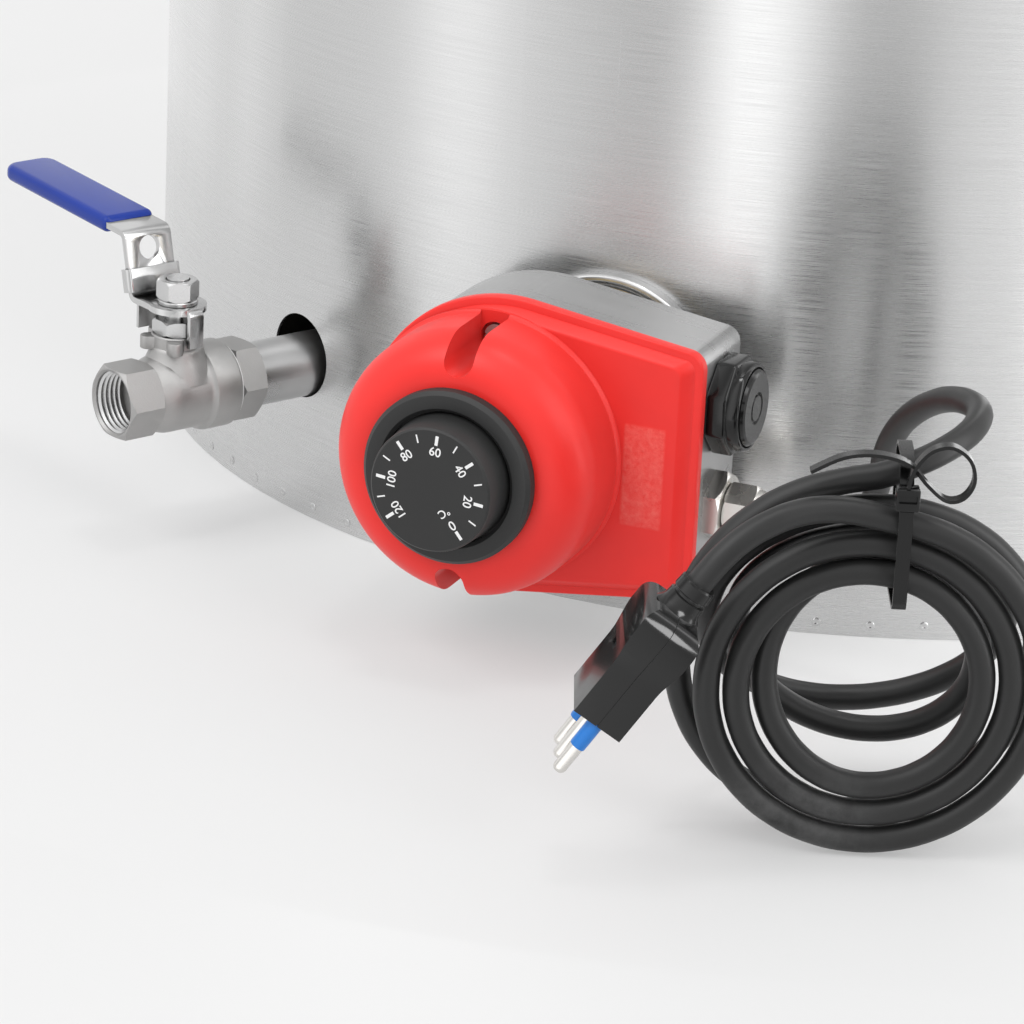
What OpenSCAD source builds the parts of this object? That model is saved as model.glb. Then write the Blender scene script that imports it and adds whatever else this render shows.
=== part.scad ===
// Insulated wax melting tank with a ball valve outlet and an immersion heater.
// Millimetres, Z up, origin on the floor under the tank's axis, heater towards -Y.

/* [Tank] */
// Outside diameter of the casing
tank_d = 500; // [460:1:600]
// Height of the casing
tank_h = 560; // [480:1:700]
// Casing sheet thickness
casing_t = 1; // [0.6:0.1:1.5]
// Insulated space between the pot and the casing
wrap_gap = 29; // [27:1:34]
// Pot sheet thickness
vessel_t = 1.5; // [1:0.1:2.5]
// Underside of the pot above the floor
vessel_z = 34; // [28:1:36]
// Base pan sheet thickness
base_t = 1.2; // [0.8:0.1:2]
// Height of the base pan's upturned flange
base_flange_h = 18; // [12:1:24]
// Thickness of the ring that closes the top
rim_t = 1.5; // [1:0.1:2.5]
// Depth of the ring's two lips
rim_lip = 12; // [6:1:20]
// Radial width of the lid's edge resting on the ring
lid_overlap = 12; // [8:1:20]
// Lid sheet thickness
lid_t = 1.2; // [0.8:0.1:2]
// Rise of the lid's middle
lid_rise = 14; // [8:1:24]
// Diameter of the lid knob
knob_d = 46; // [36:1:60]
// Height of the lid knob above its foot
knob_h = 34; // [28:1:44]
// Height of the carrying handles above the floor
handle_z = 430; // [380:1:460]
// Width of a carrying handle between its legs
handle_w = 120; // [100:1:150]
// Reach of a carrying handle from the casing
handle_out = 44; // [40:1:60]
// Diameter of the handle bar
handle_bar_d = 10; // [8:0.5:14]

/* [Outlet valve] */
// Bearing of the outlet, clockwise from the heater seen from above
valve_az = 28.3; // [24:0.1:40]
// Height of the outlet
valve_z = 51.5; // [50:0.5:60]
// Outside diameter of the outlet pipe
pipe_d = 21.3; // [18:0.1:24]
// Wall of the outlet pipe
pipe_t = 2; // [1.5:0.1:3]
// Stem axis to the casing
valve_out = 50; // [46:1:80]
// Hexagon of the valve's outlet across its flats
hex_af = 22.5; // [22:0.5:25]
// Hexagon of the valve's tank end across its flats
cap_af = 24; // [23.6:0.2:24.6]
// Radius of the valve's round body
body_r = 13; // [12.6:0.1:14]
// Ball radius
ball_r = 9.5; // [9:0.1:9.7]
// Port radius
port_r = 6; // [5:0.1:6.4]
// Radius of the outlet's thread
thread_r = 9.3; // [8:0.1:9.8]
// Depth of the outlet's thread
thread_depth = 11; // [9:0.5:12]
// Stem radius
stem_r = 4; // [3.5:0.1:4.5]
// Lever sheet thickness
lever_t = 2; // [1.5:0.1:2.5]
// Lever strip width
lever_w = 17.8; // [16:0.2:18.2]
// Slope of the lever's neck
neck_a = 76; // [72:1:78]
// Length of the lever's neck
neck_l = 21; // [20.5:0.5:24]
// Slope of the lever's grip
grip_a = 3; // [1:0.5:8]
// Length of the lever's grip sleeve
sleeve_l = 62; // [50:1:80]
// Width of the grip sleeve
sleeve_w = 19.2; // [19.2:0.2:22]
// Thickness of the grip sleeve
sleeve_t = 5.6; // [5:0.1:7]

/* [Heater] */
// Heater axis to the right of the tank's middle plane
socket_x = 2; // [0:0.5:4]
// Height of the heater axis
socket_z = 75; // [73:0.5:80]
// Outer radius of the welded socket
socket_r = 33.4; // [33:0.1:34.5]
// Radius of the socket's thread
plug_r = 29.8; // [28.5:0.1:30.2]
// Outer radius of the bright ring round the socket
collar_r = 36; // [35.5:0.1:40]
// Reach of the socket beyond the casing
socket_out = 4; // [3:0.5:6]
// Thickness of the plug's flange
plug_flange_t = 4.5; // [3.5:0.1:6]
// Length of the heating elements inside the pot
element_l = 280; // [180:5:320]
// Radius of a heating element
element_r = 4.2; // [3:0.1:4.4]
// Depth of the box
box_depth = 31; // [30.8:0.2:40]
// Box sheet thickness
box_t = 1; // [0.8:0.1:1.5]
// Radius of the box's round side
lobe_r = 46.5; // [45.5:0.5:50]
// Height of the round side's and the dome's centre
lobe_z = 65; // [63:0.5:67]
// Round side's centre to the left of the tank's middle plane
lobe_x = 13.5; // [12:0.5:15]
// Box's straight side to the right of the tank's middle plane
box_right = 48.5; // [48:0.5:52]
// Half the height of the box's straight side
box_half_h = 39; // [37:0.5:42]
// Radius of the box's corners
box_corner_r = 5; // [4:0.5:8]
// Overhang of the cover's flange past the box
cover_lip = 1.1; // [0.5:0.1:2]
// Thickness of the cover's flange
flange_t = 4; // [3.5:0.1:6]
// Rise of the cover's panel above its flange
panel_t = 3; // [2.8:0.1:5]
// Wall of the cover
cover_t = 2.5; // [2:0.1:2.7]
// Dome's axis to the left of the tank's middle plane
dome_x = 17.5; // [17:0.5:18]
// Dome radius
dome_r = 42.5; // [41.5:0.1:43.5]
// Height of the dome above the panel
dome_h = 29.5; // [28:0.5:36]
// Radius of the dome's rounded edge
dome_round = 14; // [8:0.5:15]
// Radius of the two screw channels
channel_r = 4.6; // [4.2:0.1:4.8]
// Distance of the channels from the dome's axis
channel_out = 35.5; // [35:0.1:36.5]

/* [Dial and fittings] */
// Outer radius of the dial's bezel
bezel_r = 27.4; // [25:0.1:28]
// Height of the bezel
bezel_h = 5; // [4:0.1:7]
// Radius of the dial at its face
dial_r = 19.6; // [18:0.1:19.8]
// Height of the dial's face above the dome
dial_h = 16.5; // [14:0.5:20]
// Thermostat shaft radius
shaft_r = 3; // [2.5:0.1:3.5]
// Depth of the reset nut and the gland behind the box's front edge
side_depth = 16; // [15.5:0.1:16.5]
// Height of the reset button
reset_z = 84; // [82:0.5:86]
// Reset nut across its flats
reset_af = 29.5; // [26:0.5:30]
// Radius of the reset button's cap
reset_cap_r = 12; // [8:0.5:12]
// Travel of the reset button
reset_travel = 1.5; // [1:0.1:2]
// Height of the cable gland
gland_z = 50.5; // [49:0.5:52]
// Gland base across its flats
gland_af = 20; // [18:0.5:22]
// Gland nut across its flats
gland_nut_af = 15; // [14.6:0.1:16]

/* [Cord] */
// Cord diameter
cord_d = 7.6; // [7:0.1:7.7]
// Inner radius of the coil
coil_in = 30; // [28:0.5:34]
// Step from turn to turn
coil_pitch = 8.3; // [8.25:0.05:9]
// Distance between the coil's two layers
layer_gap = 8.4; // [8.3:0.1:9]
// Fan of the rear turns away from the front ones
coil_fan = 34; // [24:1:35]
// Strap width of the cable tie
tie_w = 4.8; // [3.6:0.1:6]
// Strap thickness of the cable tie
tie_t = 1.2; // [0.8:0.1:1.6]
// Length of the plug's housing
plug_l = 37.5; // [34:0.5:44]
// Width of the plug's housing
plug_w = 26; // [24:0.5:27]
// Thickness of the plug's housing
plug_t = 15.5; // [13:0.5:17]
// Length of the plug's pins
pin_l = 18; // [16:0.5:22]
// Radius of the plug's pins
pin_r = 2; // [1.8:0.1:2.4]

/* [Hidden] */
$fn = 96;
fit = 0.05;
gap = 0.3;
tank_r = tank_d / 2;
casing_in = tank_r - casing_t;
vessel_r = casing_in - wrap_gap;
vessel_in = vessel_r - vessel_t;
rim_top = tank_h + rim_t;
rim_in = vessel_in - fit - rim_t;
lid_r = vessel_r + lid_overlap;
lid_in = rim_in - 1.5;
lid_top = rim_top + lid_t + lid_rise;
lid_flat = lid_in - 30;
knob_foot = 9;
rivet_r = 2.4;
rivet_dz = 9;
pad_w = 22;
pad_h = 32;
pad_t = 2;
leg_y = handle_w / 2;
bar_r = handle_bar_d / 2;
handle_bend = 14;
handle_face = tank_r + fit + pad_t;
handle_x = tank_r + handle_out - bar_r;
// Valve frame: origin in the ball's centre, mouth towards -Y, lever towards -X
valve_r = tank_r + valve_out;
mouth_y = -25;
hex_y = -12;
ring_y = 7;
ring_end = 17;
cap_end = 28;
ring_r = body_r + 1.5;
cavity_r = ball_r + 0.7;
seat_y = ball_r + 1.5;
cap_screw_r = cavity_r + 0.4;
pipe_r = pipe_d / 2;
pipe_stop = cap_end - 9;
hole_rise = 3.2;
stop_z = 15.8;
stop_t = 4;
stop_r = 8.3;
lug_r = 12;
packing_r = stem_r + 2.4;
packing_z = 13;
stop_top = stop_z + stop_t;
packing_nut_h = 5;
lever_z = stop_top + 8;
lever_top = lever_z + lever_t;
washer_t = 1.5;
nut_z = lever_top + washer_t;
nut_h = 6.5;
screw_r = stem_r - 0.4;
finger_r = 9.3;
finger_t = 1.8;
neck_x = -13.5;
neck_z = lever_z + lever_t / 2;
neck_end_x = neck_x - neck_l * cos(neck_a);
neck_end_z = neck_z + neck_l * sin(neck_a);
lock_t = 1.2;
lock_from = 2;
lock_l = 7.6;
sleeve_from = 9;
tongue_x = neck_x - lever_t / 2 - gap - 2 * lock_t;
// Heater frame: x to the right, y up, z from the tank's axis towards the front
collar_t = 5;
plug_face = tank_r + socket_out;
gasket_t = 1.5;
flange_back = plug_face + gasket_t;
box_back = flange_back + plug_flange_t;
box_front = box_back + box_depth;
box_floor = box_back + box_t;
flange_front = box_front + flange_t;
panel_front = flange_front + panel_t;
dome_front = panel_front + dome_h;
dome_in = dome_front - cover_t;
bezel_in = dial_r + 1.4;
bezel_floor = 1.5;
bush_r = shaft_r + 1.8;
dial_face = dome_front + dial_h;
dial_back = dome_front + bezel_floor + 1;
dial_skirt = dial_r + 0.8;
well_r = 5;
well_bore = 3.6;
element_x = 16;
element_z = 10;
box_hole_r = 24;
box_screw_r = 28.2;
box_screw_turns = [75, 195, 315];
pillar_r = 3.4;
bolt_r = 2;
thermostat_w = 34;
thermostat_h = 26;
thermostat_l = 26;
side_z = box_front - side_depth;
wall_in = box_right - box_t;
bush2_r = 8;
plunger_r = 5;
nut_front = box_right + 7;
nut_collar = nut_front + 3.5;
cap_back = nut_front + reset_travel + 0.5;
cap_front = cap_back + 3;
gland_hex_end = box_right + 5;
gland_spigot = gland_hex_end + 7;
gland_end = box_right + 18.5;
shank_r = 7.4;
cord_r = cord_d / 2;
// Coil frame: x to the right, y away from the viewer, z up
coil_o = [143, -390, 0];
coil_az = 22;
coil_u = -6;
rear_turns = 3;
front_turns = 2.5;
coil_dip = 1.6;
rear_z = coil_in + coil_pitch * (front_turns - 0.5) + cord_r + coil_dip + 2.4;
front_z = coil_in + coil_pitch * (front_turns - 0.5) + cord_r + 0.5;
coil_s0 = 0.03;
coil_s1 = rear_turns + 0.47 + front_turns;
coil_lean = 3;
tie_u = 0.5;
tie_gap = 0.45;
plug_tilt = 214.2;
plug_o = [-55, -17.5, 86];
collar_l = 9;
lead_points = [[84, -275.4, 51.3], [92.5, -277.2, 54.5], [100, -281.3, 61.8], [105, -288, 73], [108.5, -296, 84.5],
  [114, -304.5, 95.5], [121, -312.5, 104.5], [129, -320.5, 111.5], [137, -329, 116.5], [144.5, -337.5, 119.3],
  [149.8, -345.5, 120.2], [152.2, -354, 120], [152, -362.8, 118.8], [149, -371, 116.8], [143.5, -378, 114]];
tail_points = [[-14.5, -4.5, 104.3], [-22, -6.5, 105], [-29.5, -9.5, 104.5], [-36.5, -12.8, 102.6], [-43, -15.4, 99.2],
  [-48.5, -17, 94.5]];
strap_points = [[0.5, -8, 114], [2, -8.5, 119.5], [6, -9, 124.5], [11.5, -9.5, 126], [16.5, -9.5, 122.5], [18, -9.5, 116.5],
  [15.5, -9, 111.5], [11, -7.5, 110], [6, -4.5, 113], [0.5, -2, 118], [-8, -1.5, 120], [-17, -1.5, 119], [-26, -2, 114.5]];

function unit(v) = v / norm(v);
function smooth(t) = let(c = max(0, min(1, t))) c * c * (3 - 2 * c);
function coil_rho(s) =
  s < rear_turns ? coil_in + coil_pitch * (rear_turns - s) :
  s < rear_turns + 0.5 ? coil_in - coil_dip * sin(360 * (s - rear_turns)) :
  coil_in + coil_pitch * (s - rear_turns - 0.5);
function coil_side(s) = smooth((s - rear_turns) / 0.5);
function coil_tilt(s) = s < rear_turns + 0.5 ? coil_fan * pow(sin(180 * s / (rear_turns + 0.5)), 2) : 0;
function coil_point(s) = let(rho = coil_rho(s), g = coil_side(s), drop = rho * (1 - cos(360 * s)))
  [coil_u - rho * sin(360 * s),
   (1 - g) * layer_gap + drop * sin(coil_tilt(s)) - coil_lean * pow(max(0, (s - coil_s1) / 0.4 + 1), 2),
   rear_z + (front_z - rear_z) * g + rho - drop * cos(coil_tilt(s))];
function coil_head(s) = unit(coil_point(s + 0.002) - coil_point(s - 0.002));
coil_steps = 144;
coil_turns = [for (i = [0:coil_steps]) coil_s0 + (coil_s1 - coil_s0) * i / coil_steps];
coil_start = coil_point(coil_s0) - cord_d * coil_head(coil_s0);
coil_end = coil_point(coil_s1) + cord_d * coil_head(coil_s1);
coil_path = concat([coil_start], [for (s = coil_turns) coil_point(s)], [coil_end]);
coil_gap = min([for (i = [0:coil_steps]) for (j = [i + 1:coil_steps])
  if (coil_turns[j] - coil_turns[i] > 0.35) norm(coil_point(coil_turns[j]) - coil_point(coil_turns[i])) - cord_d]);
echo(coil_gap = coil_gap);
function from_coil(p) = [coil_o[0] + p[0] * cos(coil_az) - p[1] * sin(coil_az),
  coil_o[1] + p[0] * sin(coil_az) + p[1] * cos(coil_az), coil_o[2] + p[2]];
gland_mouth = [gland_end, -side_z, gland_z];
lead_path = concat([gland_mouth, gland_mouth + [cord_d + 0.4, 0, 0]], lead_points,
  [from_coil(coil_start - 3 * coil_head(coil_s0)), from_coil(coil_start)]);
plug_axis = [sin(plug_tilt), 0, cos(plug_tilt)];
tail_path = concat([coil_end, coil_end + 3 * coil_head(coil_s1)], tail_points, [plug_o - 3 * plug_axis, plug_o]);

// Frames and shared shapes
module at_valve() {
  rotate([0, 0, -valve_az])
    translate([0, -valve_r, valve_z])
      children();
}

module at_heater() {
  rotate([90, 0, 0])
    children();
}

module at_coil() {
  translate(coil_o)
    rotate([0, 0, coil_az])
      children();
}

module at_plug() {
  at_coil()
    translate(plug_o)
      rotate([0, plug_tilt, 0])
        children();
}

module tube(ro, ri, h) {
  difference() {
    cylinder(r = ro, h = h);
    translate([0, 0, -1])
      cylinder(r = ri, h = h + 2);
  }
}

module bar_y(r, y0, y1) {
  translate([0, y0, 0])
    rotate([-90, 0, 0])
      cylinder(r = r, h = y1 - y0);
}

module hex_bar_y(af, y0, y1) {
  translate([0, y0, 0])
    rotate([-90, 0, 0])
      cylinder(r = af / sqrt(3), h = y1 - y0, $fn = 6);
}

module hex_bar(af, h) {
  cylinder(r = af / sqrt(3), h = h, $fn = 6);
}

// Bar along x from x0 to x1
module bar_x(r, x0, x1) {
  translate([x0, 0, 0])
    rotate([0, 90, 0])
      cylinder(r = r, h = x1 - x0);
}

module hex_bar_x(af, x0, x1) {
  translate([x0, 0, 0])
    rotate([0, 90, 0])
      cylinder(r = af / sqrt(3), h = x1 - x0, $fn = 6);
}

// Straight-sided tube swept through given points, one ring at each point
module sweep(path, section, ref) {
  n = len(path);
  m = len(section);
  tangent = [for (i = [0:n - 1]) unit(path[min(n - 1, i + 1)] - path[max(0, i - 1)])];
  side = [for (t = tangent) unit(cross(t, ref))];
  verts = [for (i = [0:n - 1]) for (q = section) path[i] + q[0] * side[i] + q[1] * cross(side[i], tangent[i])];
  walls = [for (i = [0:n - 2]) for (j = [0:m - 1]) for (k = [0:1])
    k == 0 ? [i * m + j, i * m + (j + 1) % m, (i + 1) * m + j]
    : [i * m + (j + 1) % m, (i + 1) * m + (j + 1) % m, (i + 1) * m + j]];
  caps = [for (j = [1:m - 2]) for (k = [0:1])
    k == 0 ? [0, j + 1, j] : [(n - 1) * m, (n - 1) * m + j, (n - 1) * m + j + 1]];
  polyhedron(verts, concat(walls, caps));
}

function round_section(r, m) = [for (j = [0:m - 1]) [r * cos(360 * j / m), r * sin(360 * j / m)]];

// Outline of the box and cover: a round side and a straight side with two corners
function arc(c, r, a0, a1, n) = [for (i = [0:n]) c + r * [cos(a0 + (a1 - a0) * i / n), sin(a0 + (a1 - a0) * i / n)]];

module box_outline(grow) {
  c0 = [-lobe_x, lobe_z];
  r0 = lobe_r + grow;
  r1 = box_corner_r + grow;
  cx = box_right - box_corner_r;
  cz = box_half_h - box_corner_r;
  turn = atan2(cz, cx + lobe_x) + acos((r0 - r1) / norm([cx + lobe_x, cz]));
  polygon(concat(arc(c0, r0, turn, 360 - turn, 56), arc([cx, lobe_z - cz], r1, -turn, 0, 8),
    arc([cx, lobe_z + cz], r1, 0, turn, 8)));
}

module box_slab(grow, z0, z1) {
  translate([0, 0, z0])
    linear_extrude(z1 - z0)
      box_outline(grow);
}

// Tank
module handle_spots() {
  for (a = [0, 180])
    for (s = [-1, 1])
      for (k = [-1, 1])
        rotate([0, 0, a + s * asin(leg_y / tank_r)])
          translate([0, 0, handle_z + k * rivet_dz])
            children();
}

module outer_casing() {
  color("lightgray")
    difference() {
      tube(tank_r, casing_in, tank_h);
      at_heater()
        translate([socket_x, socket_z, tank_r - 30])
          cylinder(r = socket_r + gap, h = 60);
      at_valve()
        translate([0, 0, hole_rise])
          bar_y(pipe_r + 3.5, valve_out - 20, valve_out + 30);
      handle_spots()
        bar_x(rivet_r + fit, tank_r - 50, tank_r + 5);
    }
}

module base_pan() {
  color("gray")
    difference() {
      cylinder(r = casing_in - fit, h = base_t + base_flange_h);
      translate([0, 0, base_t])
        cylinder(r = casing_in - fit - base_t, h = base_flange_h + 1);
    }
}

module inner_vessel() {
  color("silver")
    difference() {
      translate([0, 0, vessel_z])
        cylinder(r = vessel_r, h = tank_h - vessel_z);
      translate([0, 0, vessel_z + vessel_t])
        cylinder(r = vessel_in, h = tank_h);
      at_heater()
        translate([socket_x, socket_z, vessel_r - 30])
          cylinder(r = socket_r + fit, h = 60);
      at_valve()
        bar_y(pipe_r + fit, wrap_gap, valve_out + wrap_gap + 30);
    }
}

module insulation_wrap() {
  color("khaki")
    difference() {
      translate([0, 0, vessel_z + gap])
        tube(casing_in - gap, vessel_r + gap, tank_h - rim_lip - vessel_z - 2 * gap);
      at_heater()
        translate([socket_x, socket_z, 100])
          cylinder(r = socket_r + 1, h = tank_r);
      at_valve()
        bar_y(pipe_r + 9, 0, valve_r);
    }
}

module insulation_floor() {
  color("khaki")
    translate([0, 0, base_t])
      cylinder(r = casing_in - base_t - 1, h = vessel_z - base_t);
}

module top_rim() {
  color("lightgray")
    rotate_extrude()
      polygon([[rim_in, tank_h - rim_lip], [rim_in + rim_t, tank_h - rim_lip], [rim_in + rim_t, tank_h],
        [tank_r + fit, tank_h], [tank_r + fit, tank_h - rim_lip], [tank_r + fit + rim_t, tank_h - rim_lip],
        [tank_r + fit + rim_t, rim_top], [rim_in, rim_top]]);
}

module lid() {
  color("lightgray")
    difference() {
      rotate_extrude()
        polygon([[0, lid_top - lid_t], [lid_flat, lid_top - lid_t], [lid_in - lid_t, rim_top],
          [lid_in - lid_t, rim_top - 10], [lid_in, rim_top - 10], [lid_in, rim_top], [lid_r, rim_top],
          [lid_r, rim_top + lid_t], [lid_in, rim_top + lid_t], [lid_flat, lid_top], [0, lid_top]]);
      translate([0, 0, lid_top - 10])
        cylinder(r = bolt_r + 1 + fit, h = 20);
    }
}

module lid_knob() {
  color("black")
    translate([0, 0, lid_top])
      difference() {
        rotate_extrude()
          polygon([[0, 0], [knob_d * 0.32, 0], [knob_d * 0.28, knob_foot], [knob_d * 0.24, knob_foot + 6],
            [knob_d / 2 - 2, knob_h - 12], [knob_d / 2, knob_h - 8], [knob_d / 2 - 2, knob_h - 4],
            [knob_d * 0.36, knob_h - 1], [0, knob_h]]);
        translate([0, 0, -1])
          cylinder(r = bolt_r + 1 + fit, h = 17);
      }
}

module lid_knob_screw() {
  color("silver")
    translate([0, 0, lid_top - lid_t]) {
      translate([0, 0, -2.5])
        cylinder(r = 6, h = 2.5);
      cylinder(r = bolt_r + 1, h = lid_t + 14);
    }
}

module one_handle() {
  for (s = [-1, 1]) {
    intersection() {
      translate([0, 0, handle_z - pad_h / 2])
        tube(handle_face, tank_r + 0.2, pad_h);
      translate([tank_r - 40, s * leg_y - pad_w / 2, handle_z - pad_h / 2])
        cube([60, pad_w, pad_h]);
    }
    difference() {
      translate([0, s * leg_y, handle_z])
        bar_x(bar_r, sqrt(pow(handle_face, 2) - pow(leg_y + bar_r, 2)) - 3, handle_x - handle_bend);
      translate([0, 0, handle_z - pad_h])
        cylinder(r = tank_r + pad_t / 2, h = 2 * pad_h);
    }
    translate([handle_x - handle_bend, s * (leg_y - handle_bend), handle_z])
      rotate([0, 0, s > 0 ? 0 : -90])
        rotate_extrude(angle = 90)
          translate([handle_bend, 0])
            circle(r = bar_r, $fn = 32);
  }
  translate([handle_x, 0, handle_z])
    bar_y(bar_r, handle_bend - leg_y, leg_y - handle_bend);
}

module side_handles() {
  color("lightgray")
    difference() {
      for (a = [0, 180])
        rotate([0, 0, a])
          one_handle();
      handle_spots()
        bar_x(rivet_r + fit, tank_r - 50, tank_r + 8);
    }
}

module handle_rivets() {
  color("silver")
    handle_spots()
      rotate([0, 90, 0])
        rotate_extrude($fn = 48)
          polygon([[0, casing_in], [rivet_r, casing_in], [rivet_r, handle_face + fit], [rivet_r + 1.8, handle_face + fit],
            [rivet_r + 1.5, handle_face + 1], [rivet_r, handle_face + 1.7], [0, handle_face + 2]]);
}

module outlet_pipe() {
  color("silver")
    at_valve()
      difference() {
        bar_y(pipe_r, pipe_stop, valve_r - vessel_in + 4);
        bar_y(pipe_r - pipe_t, pipe_stop - 1, valve_r - vessel_in + 5);
      }
}

// Outlet valve
module valve_body() {
  color("darkgray")
    at_valve()
      difference() {
        union() {
          intersection() {
            hex_bar_y(hex_af, mouth_y, hex_y);
            rotate([-90, 0, 0])
              rotate_extrude()
                polygon([[0, mouth_y], [hex_af / 2 + 0.6, mouth_y], [hex_af / 2 + 3, mouth_y + 1.6],
                  [hex_af / 2 + 3, hex_y], [0, hex_y]]);
          }
          rotate([-90, 0, 0])
            rotate_extrude()
              polygon([[0, hex_y - 4], [hex_af / 2 - 0.8, hex_y - 4], [hex_af / 2 - 0.1, hex_y],
                [body_r, hex_y + 5], [body_r, ring_y - 1],
                [ring_r, ring_y], [ring_r, ring_end - 0.8], [ring_r - 0.8, ring_end], [0, ring_end]]);
          cylinder(r = stop_r + 0.6, h = stop_z);
          translate([0, 0, stop_z])
            cylinder(r = stop_r, h = stop_t);
          for (a = [-38, 128, 190, 245])
            rotate([0, 0, a])
              translate([packing_r + 0.7, -3, stop_z - 1])
                cube([lug_r - packing_r - 0.7, 6, stop_t + 0.6]);
        }
        bar_y(thread_r, mouth_y - 1, mouth_y + thread_depth);
        bar_y(port_r, mouth_y, 0);
        bar_y(cavity_r, -seat_y, seat_y);
        bar_y(cap_screw_r, seat_y - 0.01, ring_end + 1);
        cylinder(r = stem_r + fit, h = stop_top + 1);
        translate([0, 0, packing_z])
          cylinder(r = packing_r, h = stop_top);
      }
}

module valve_cap() {
  color("darkgray")
    at_valve()
      difference() {
        union() {
          hex_bar_y(cap_af, ring_end + 0.8, cap_end);
          bar_y(cap_screw_r - fit, seat_y, ring_end + 1);
        }
        bar_y(port_r, 0, cap_end);
        bar_y(pipe_r + fit, pipe_stop, cap_end + 1);
      }
}

module cap_gasket() {
  color("white")
    at_valve()
      difference() {
        bar_y(ring_r - 1.2, ring_end, ring_end + 0.8);
        bar_y(cap_screw_r, ring_end - 1, ring_end + 2);
      }
}

module valve_ball() {
  color("silver")
    at_valve()
      difference() {
        sphere(r = ball_r);
        bar_x(port_r, -2 * ball_r, 2 * ball_r);
        translate([-ball_r, -1.6, ball_r - 2.6])
          cube([2 * ball_r, 3.2, 4]);
      }
}

module valve_seats() {
  color("white")
    at_valve()
      for (s = [-1, 1])
        difference() {
          bar_y(cavity_r - fit, s > 0 ? ball_r - 3 : -seat_y, s > 0 ? seat_y : 3 - ball_r);
          bar_y(port_r + 0.3, -20, 20);
          sphere(r = ball_r + gap);
        }
}

module valve_stem() {
  color("silver")
    at_valve() {
      translate([-3.2, -1.5, ball_r - 2.5])
        cube([6.4, 3, 3]);
      translate([0, 0, ball_r + 0.1])
        cylinder(r = stem_r, h = lever_z - ball_r - 0.1);
      translate([0, 0, lever_z - 1])
        cylinder(r = screw_r, h = nut_z + nut_h - lever_z + 1.5);
    }
}

module stem_packing() {
  color("white")
    at_valve()
      translate([0, 0, packing_z])
        tube(packing_r - fit, stem_r + fit, stop_top - packing_z - 1.5);
}

module packing_nut() {
  color("gray")
    at_valve()
      difference() {
        union() {
          translate([0, 0, stop_top])
            hex_bar(14, packing_nut_h);
          translate([0, 0, stop_top - 1.5])
            cylinder(r = packing_r - fit, h = 2);
        }
        cylinder(r = stem_r + fit, h = 60);
      }
}

// Edge of a bent strip at a corner of its middle line
function mitre(p, d, e, h) = let(m = [-d[1], d[0]], n = [-e[1], e[0]]) p + h * (m + n) / (1 + m * n);

// Middle line of the lever: plate, neck and grip, seen from the side
lever_dirs = [[-1, 0], [-cos(neck_a), sin(neck_a)], [-cos(grip_a), sin(grip_a)]];
lever_spots = [[0, neck_z], [neck_x, neck_z], [neck_end_x, neck_end_z],
  [neck_end_x, neck_end_z] + (sleeve_from + sleeve_l - 5) * lever_dirs[2]];

module lever_strip(h) {
  rotate([90, 0, 0])
    translate([0, 0, -lever_w / 2])
      linear_extrude(lever_w)
        polygon([for (s = [1, -1]) for (k = s > 0 ? [0:3] : [3:-1:0])
          mitre(lever_spots[k], lever_dirs[max(0, k - 1)], lever_dirs[min(2, k)], s * h)]);
}

module valve_lever() {
  color("lightgray")
    at_valve()
      difference() {
        union() {
          translate([0, 0, lever_z])
            cylinder(r = lever_w / 2 + 0.6, h = lever_t);
          lever_strip(lever_t / 2);
          rotate([90, 0, 0])
            translate([0, 0, -2.6])
              linear_extrude(5.2)
                polygon([[5, lever_z], [finger_r, lever_z], [finger_r, stop_z + 1.5], [finger_r + finger_t, stop_z + 1.5],
                  [finger_r + finger_t, lever_top], [5, lever_top]]);
        }
        translate([0, 0, lever_z - 1])
          cylinder(r = screw_r + fit, h = lever_t + 2);
        translate([neck_x, 0, neck_z])
          rotate([0, neck_a - 180, 0])
            translate([16, 0, -5])
              cylinder(r = 3.9, h = 10, $fn = 48);
      }
}

module lever_sleeve() {
  color("blue")
    at_valve()
      translate([neck_end_x, 0, neck_end_z])
        rotate([0, grip_a - 180, 0])
          translate([sleeve_from - 3, 0, 0])
          difference() {
            intersection() {
              translate([3, 0, 0])
                rotate([0, 90, 0])
                  linear_extrude(sleeve_l)
                    union() {
                      square([sleeve_t - 3, sleeve_w], center = true);
                      square([sleeve_t, sleeve_w - 3], center = true);
                      for (i = [-1, 1])
                        for (j = [-1, 1])
                          translate([i * (sleeve_t / 2 - 1.5), j * (sleeve_w / 2 - 1.5)])
                            circle(r = 1.5, $fn = 32);
                    }
              union() {
                translate([0, -sleeve_w / 2, -10])
                  cube([sleeve_l - 2, sleeve_w, 20]);
                translate([0, 5 - sleeve_w / 2, -10])
                  cube([sleeve_l + 3, sleeve_w - 10, 20]);
                for (s = [-1, 1])
                  translate([sleeve_l - 2, s * (sleeve_w / 2 - 5), -10])
                    cylinder(r = 5, h = 20);
              }
            }
            translate([-2, -lever_w / 2 - fit, -lever_t / 2 - fit])
              cube([sleeve_l + fit, lever_w + 2 * fit, lever_t + 2 * fit]);
          }
}

module lever_lock() {
  color("silver")
    at_valve() {
      translate([neck_x, 0, neck_z])
        rotate([0, neck_a - 180, 0])
          difference() {
            translate([lock_from, -lever_w / 2 - gap - lock_t, -lever_t / 2 - gap - lock_t])
              cube([lock_l, lever_w + 2 * gap + 2 * lock_t, lever_t + 2 * gap + 2 * lock_t]);
            translate([0, -lever_w / 2 - gap, -lever_t / 2 - gap])
              cube([neck_l, lever_w + 2 * gap, lever_t + 2 * gap]);
          }
      translate([tongue_x, -4, stop_z + 1.5])
        cube([lock_t, 8, lever_top + 2.7 - stop_z - 1.5]);
    }
}

module lever_washer() {
  color("silver")
    at_valve()
      translate([0, 0, lever_top])
        tube(6.6, screw_r + fit, washer_t);
}

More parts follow.
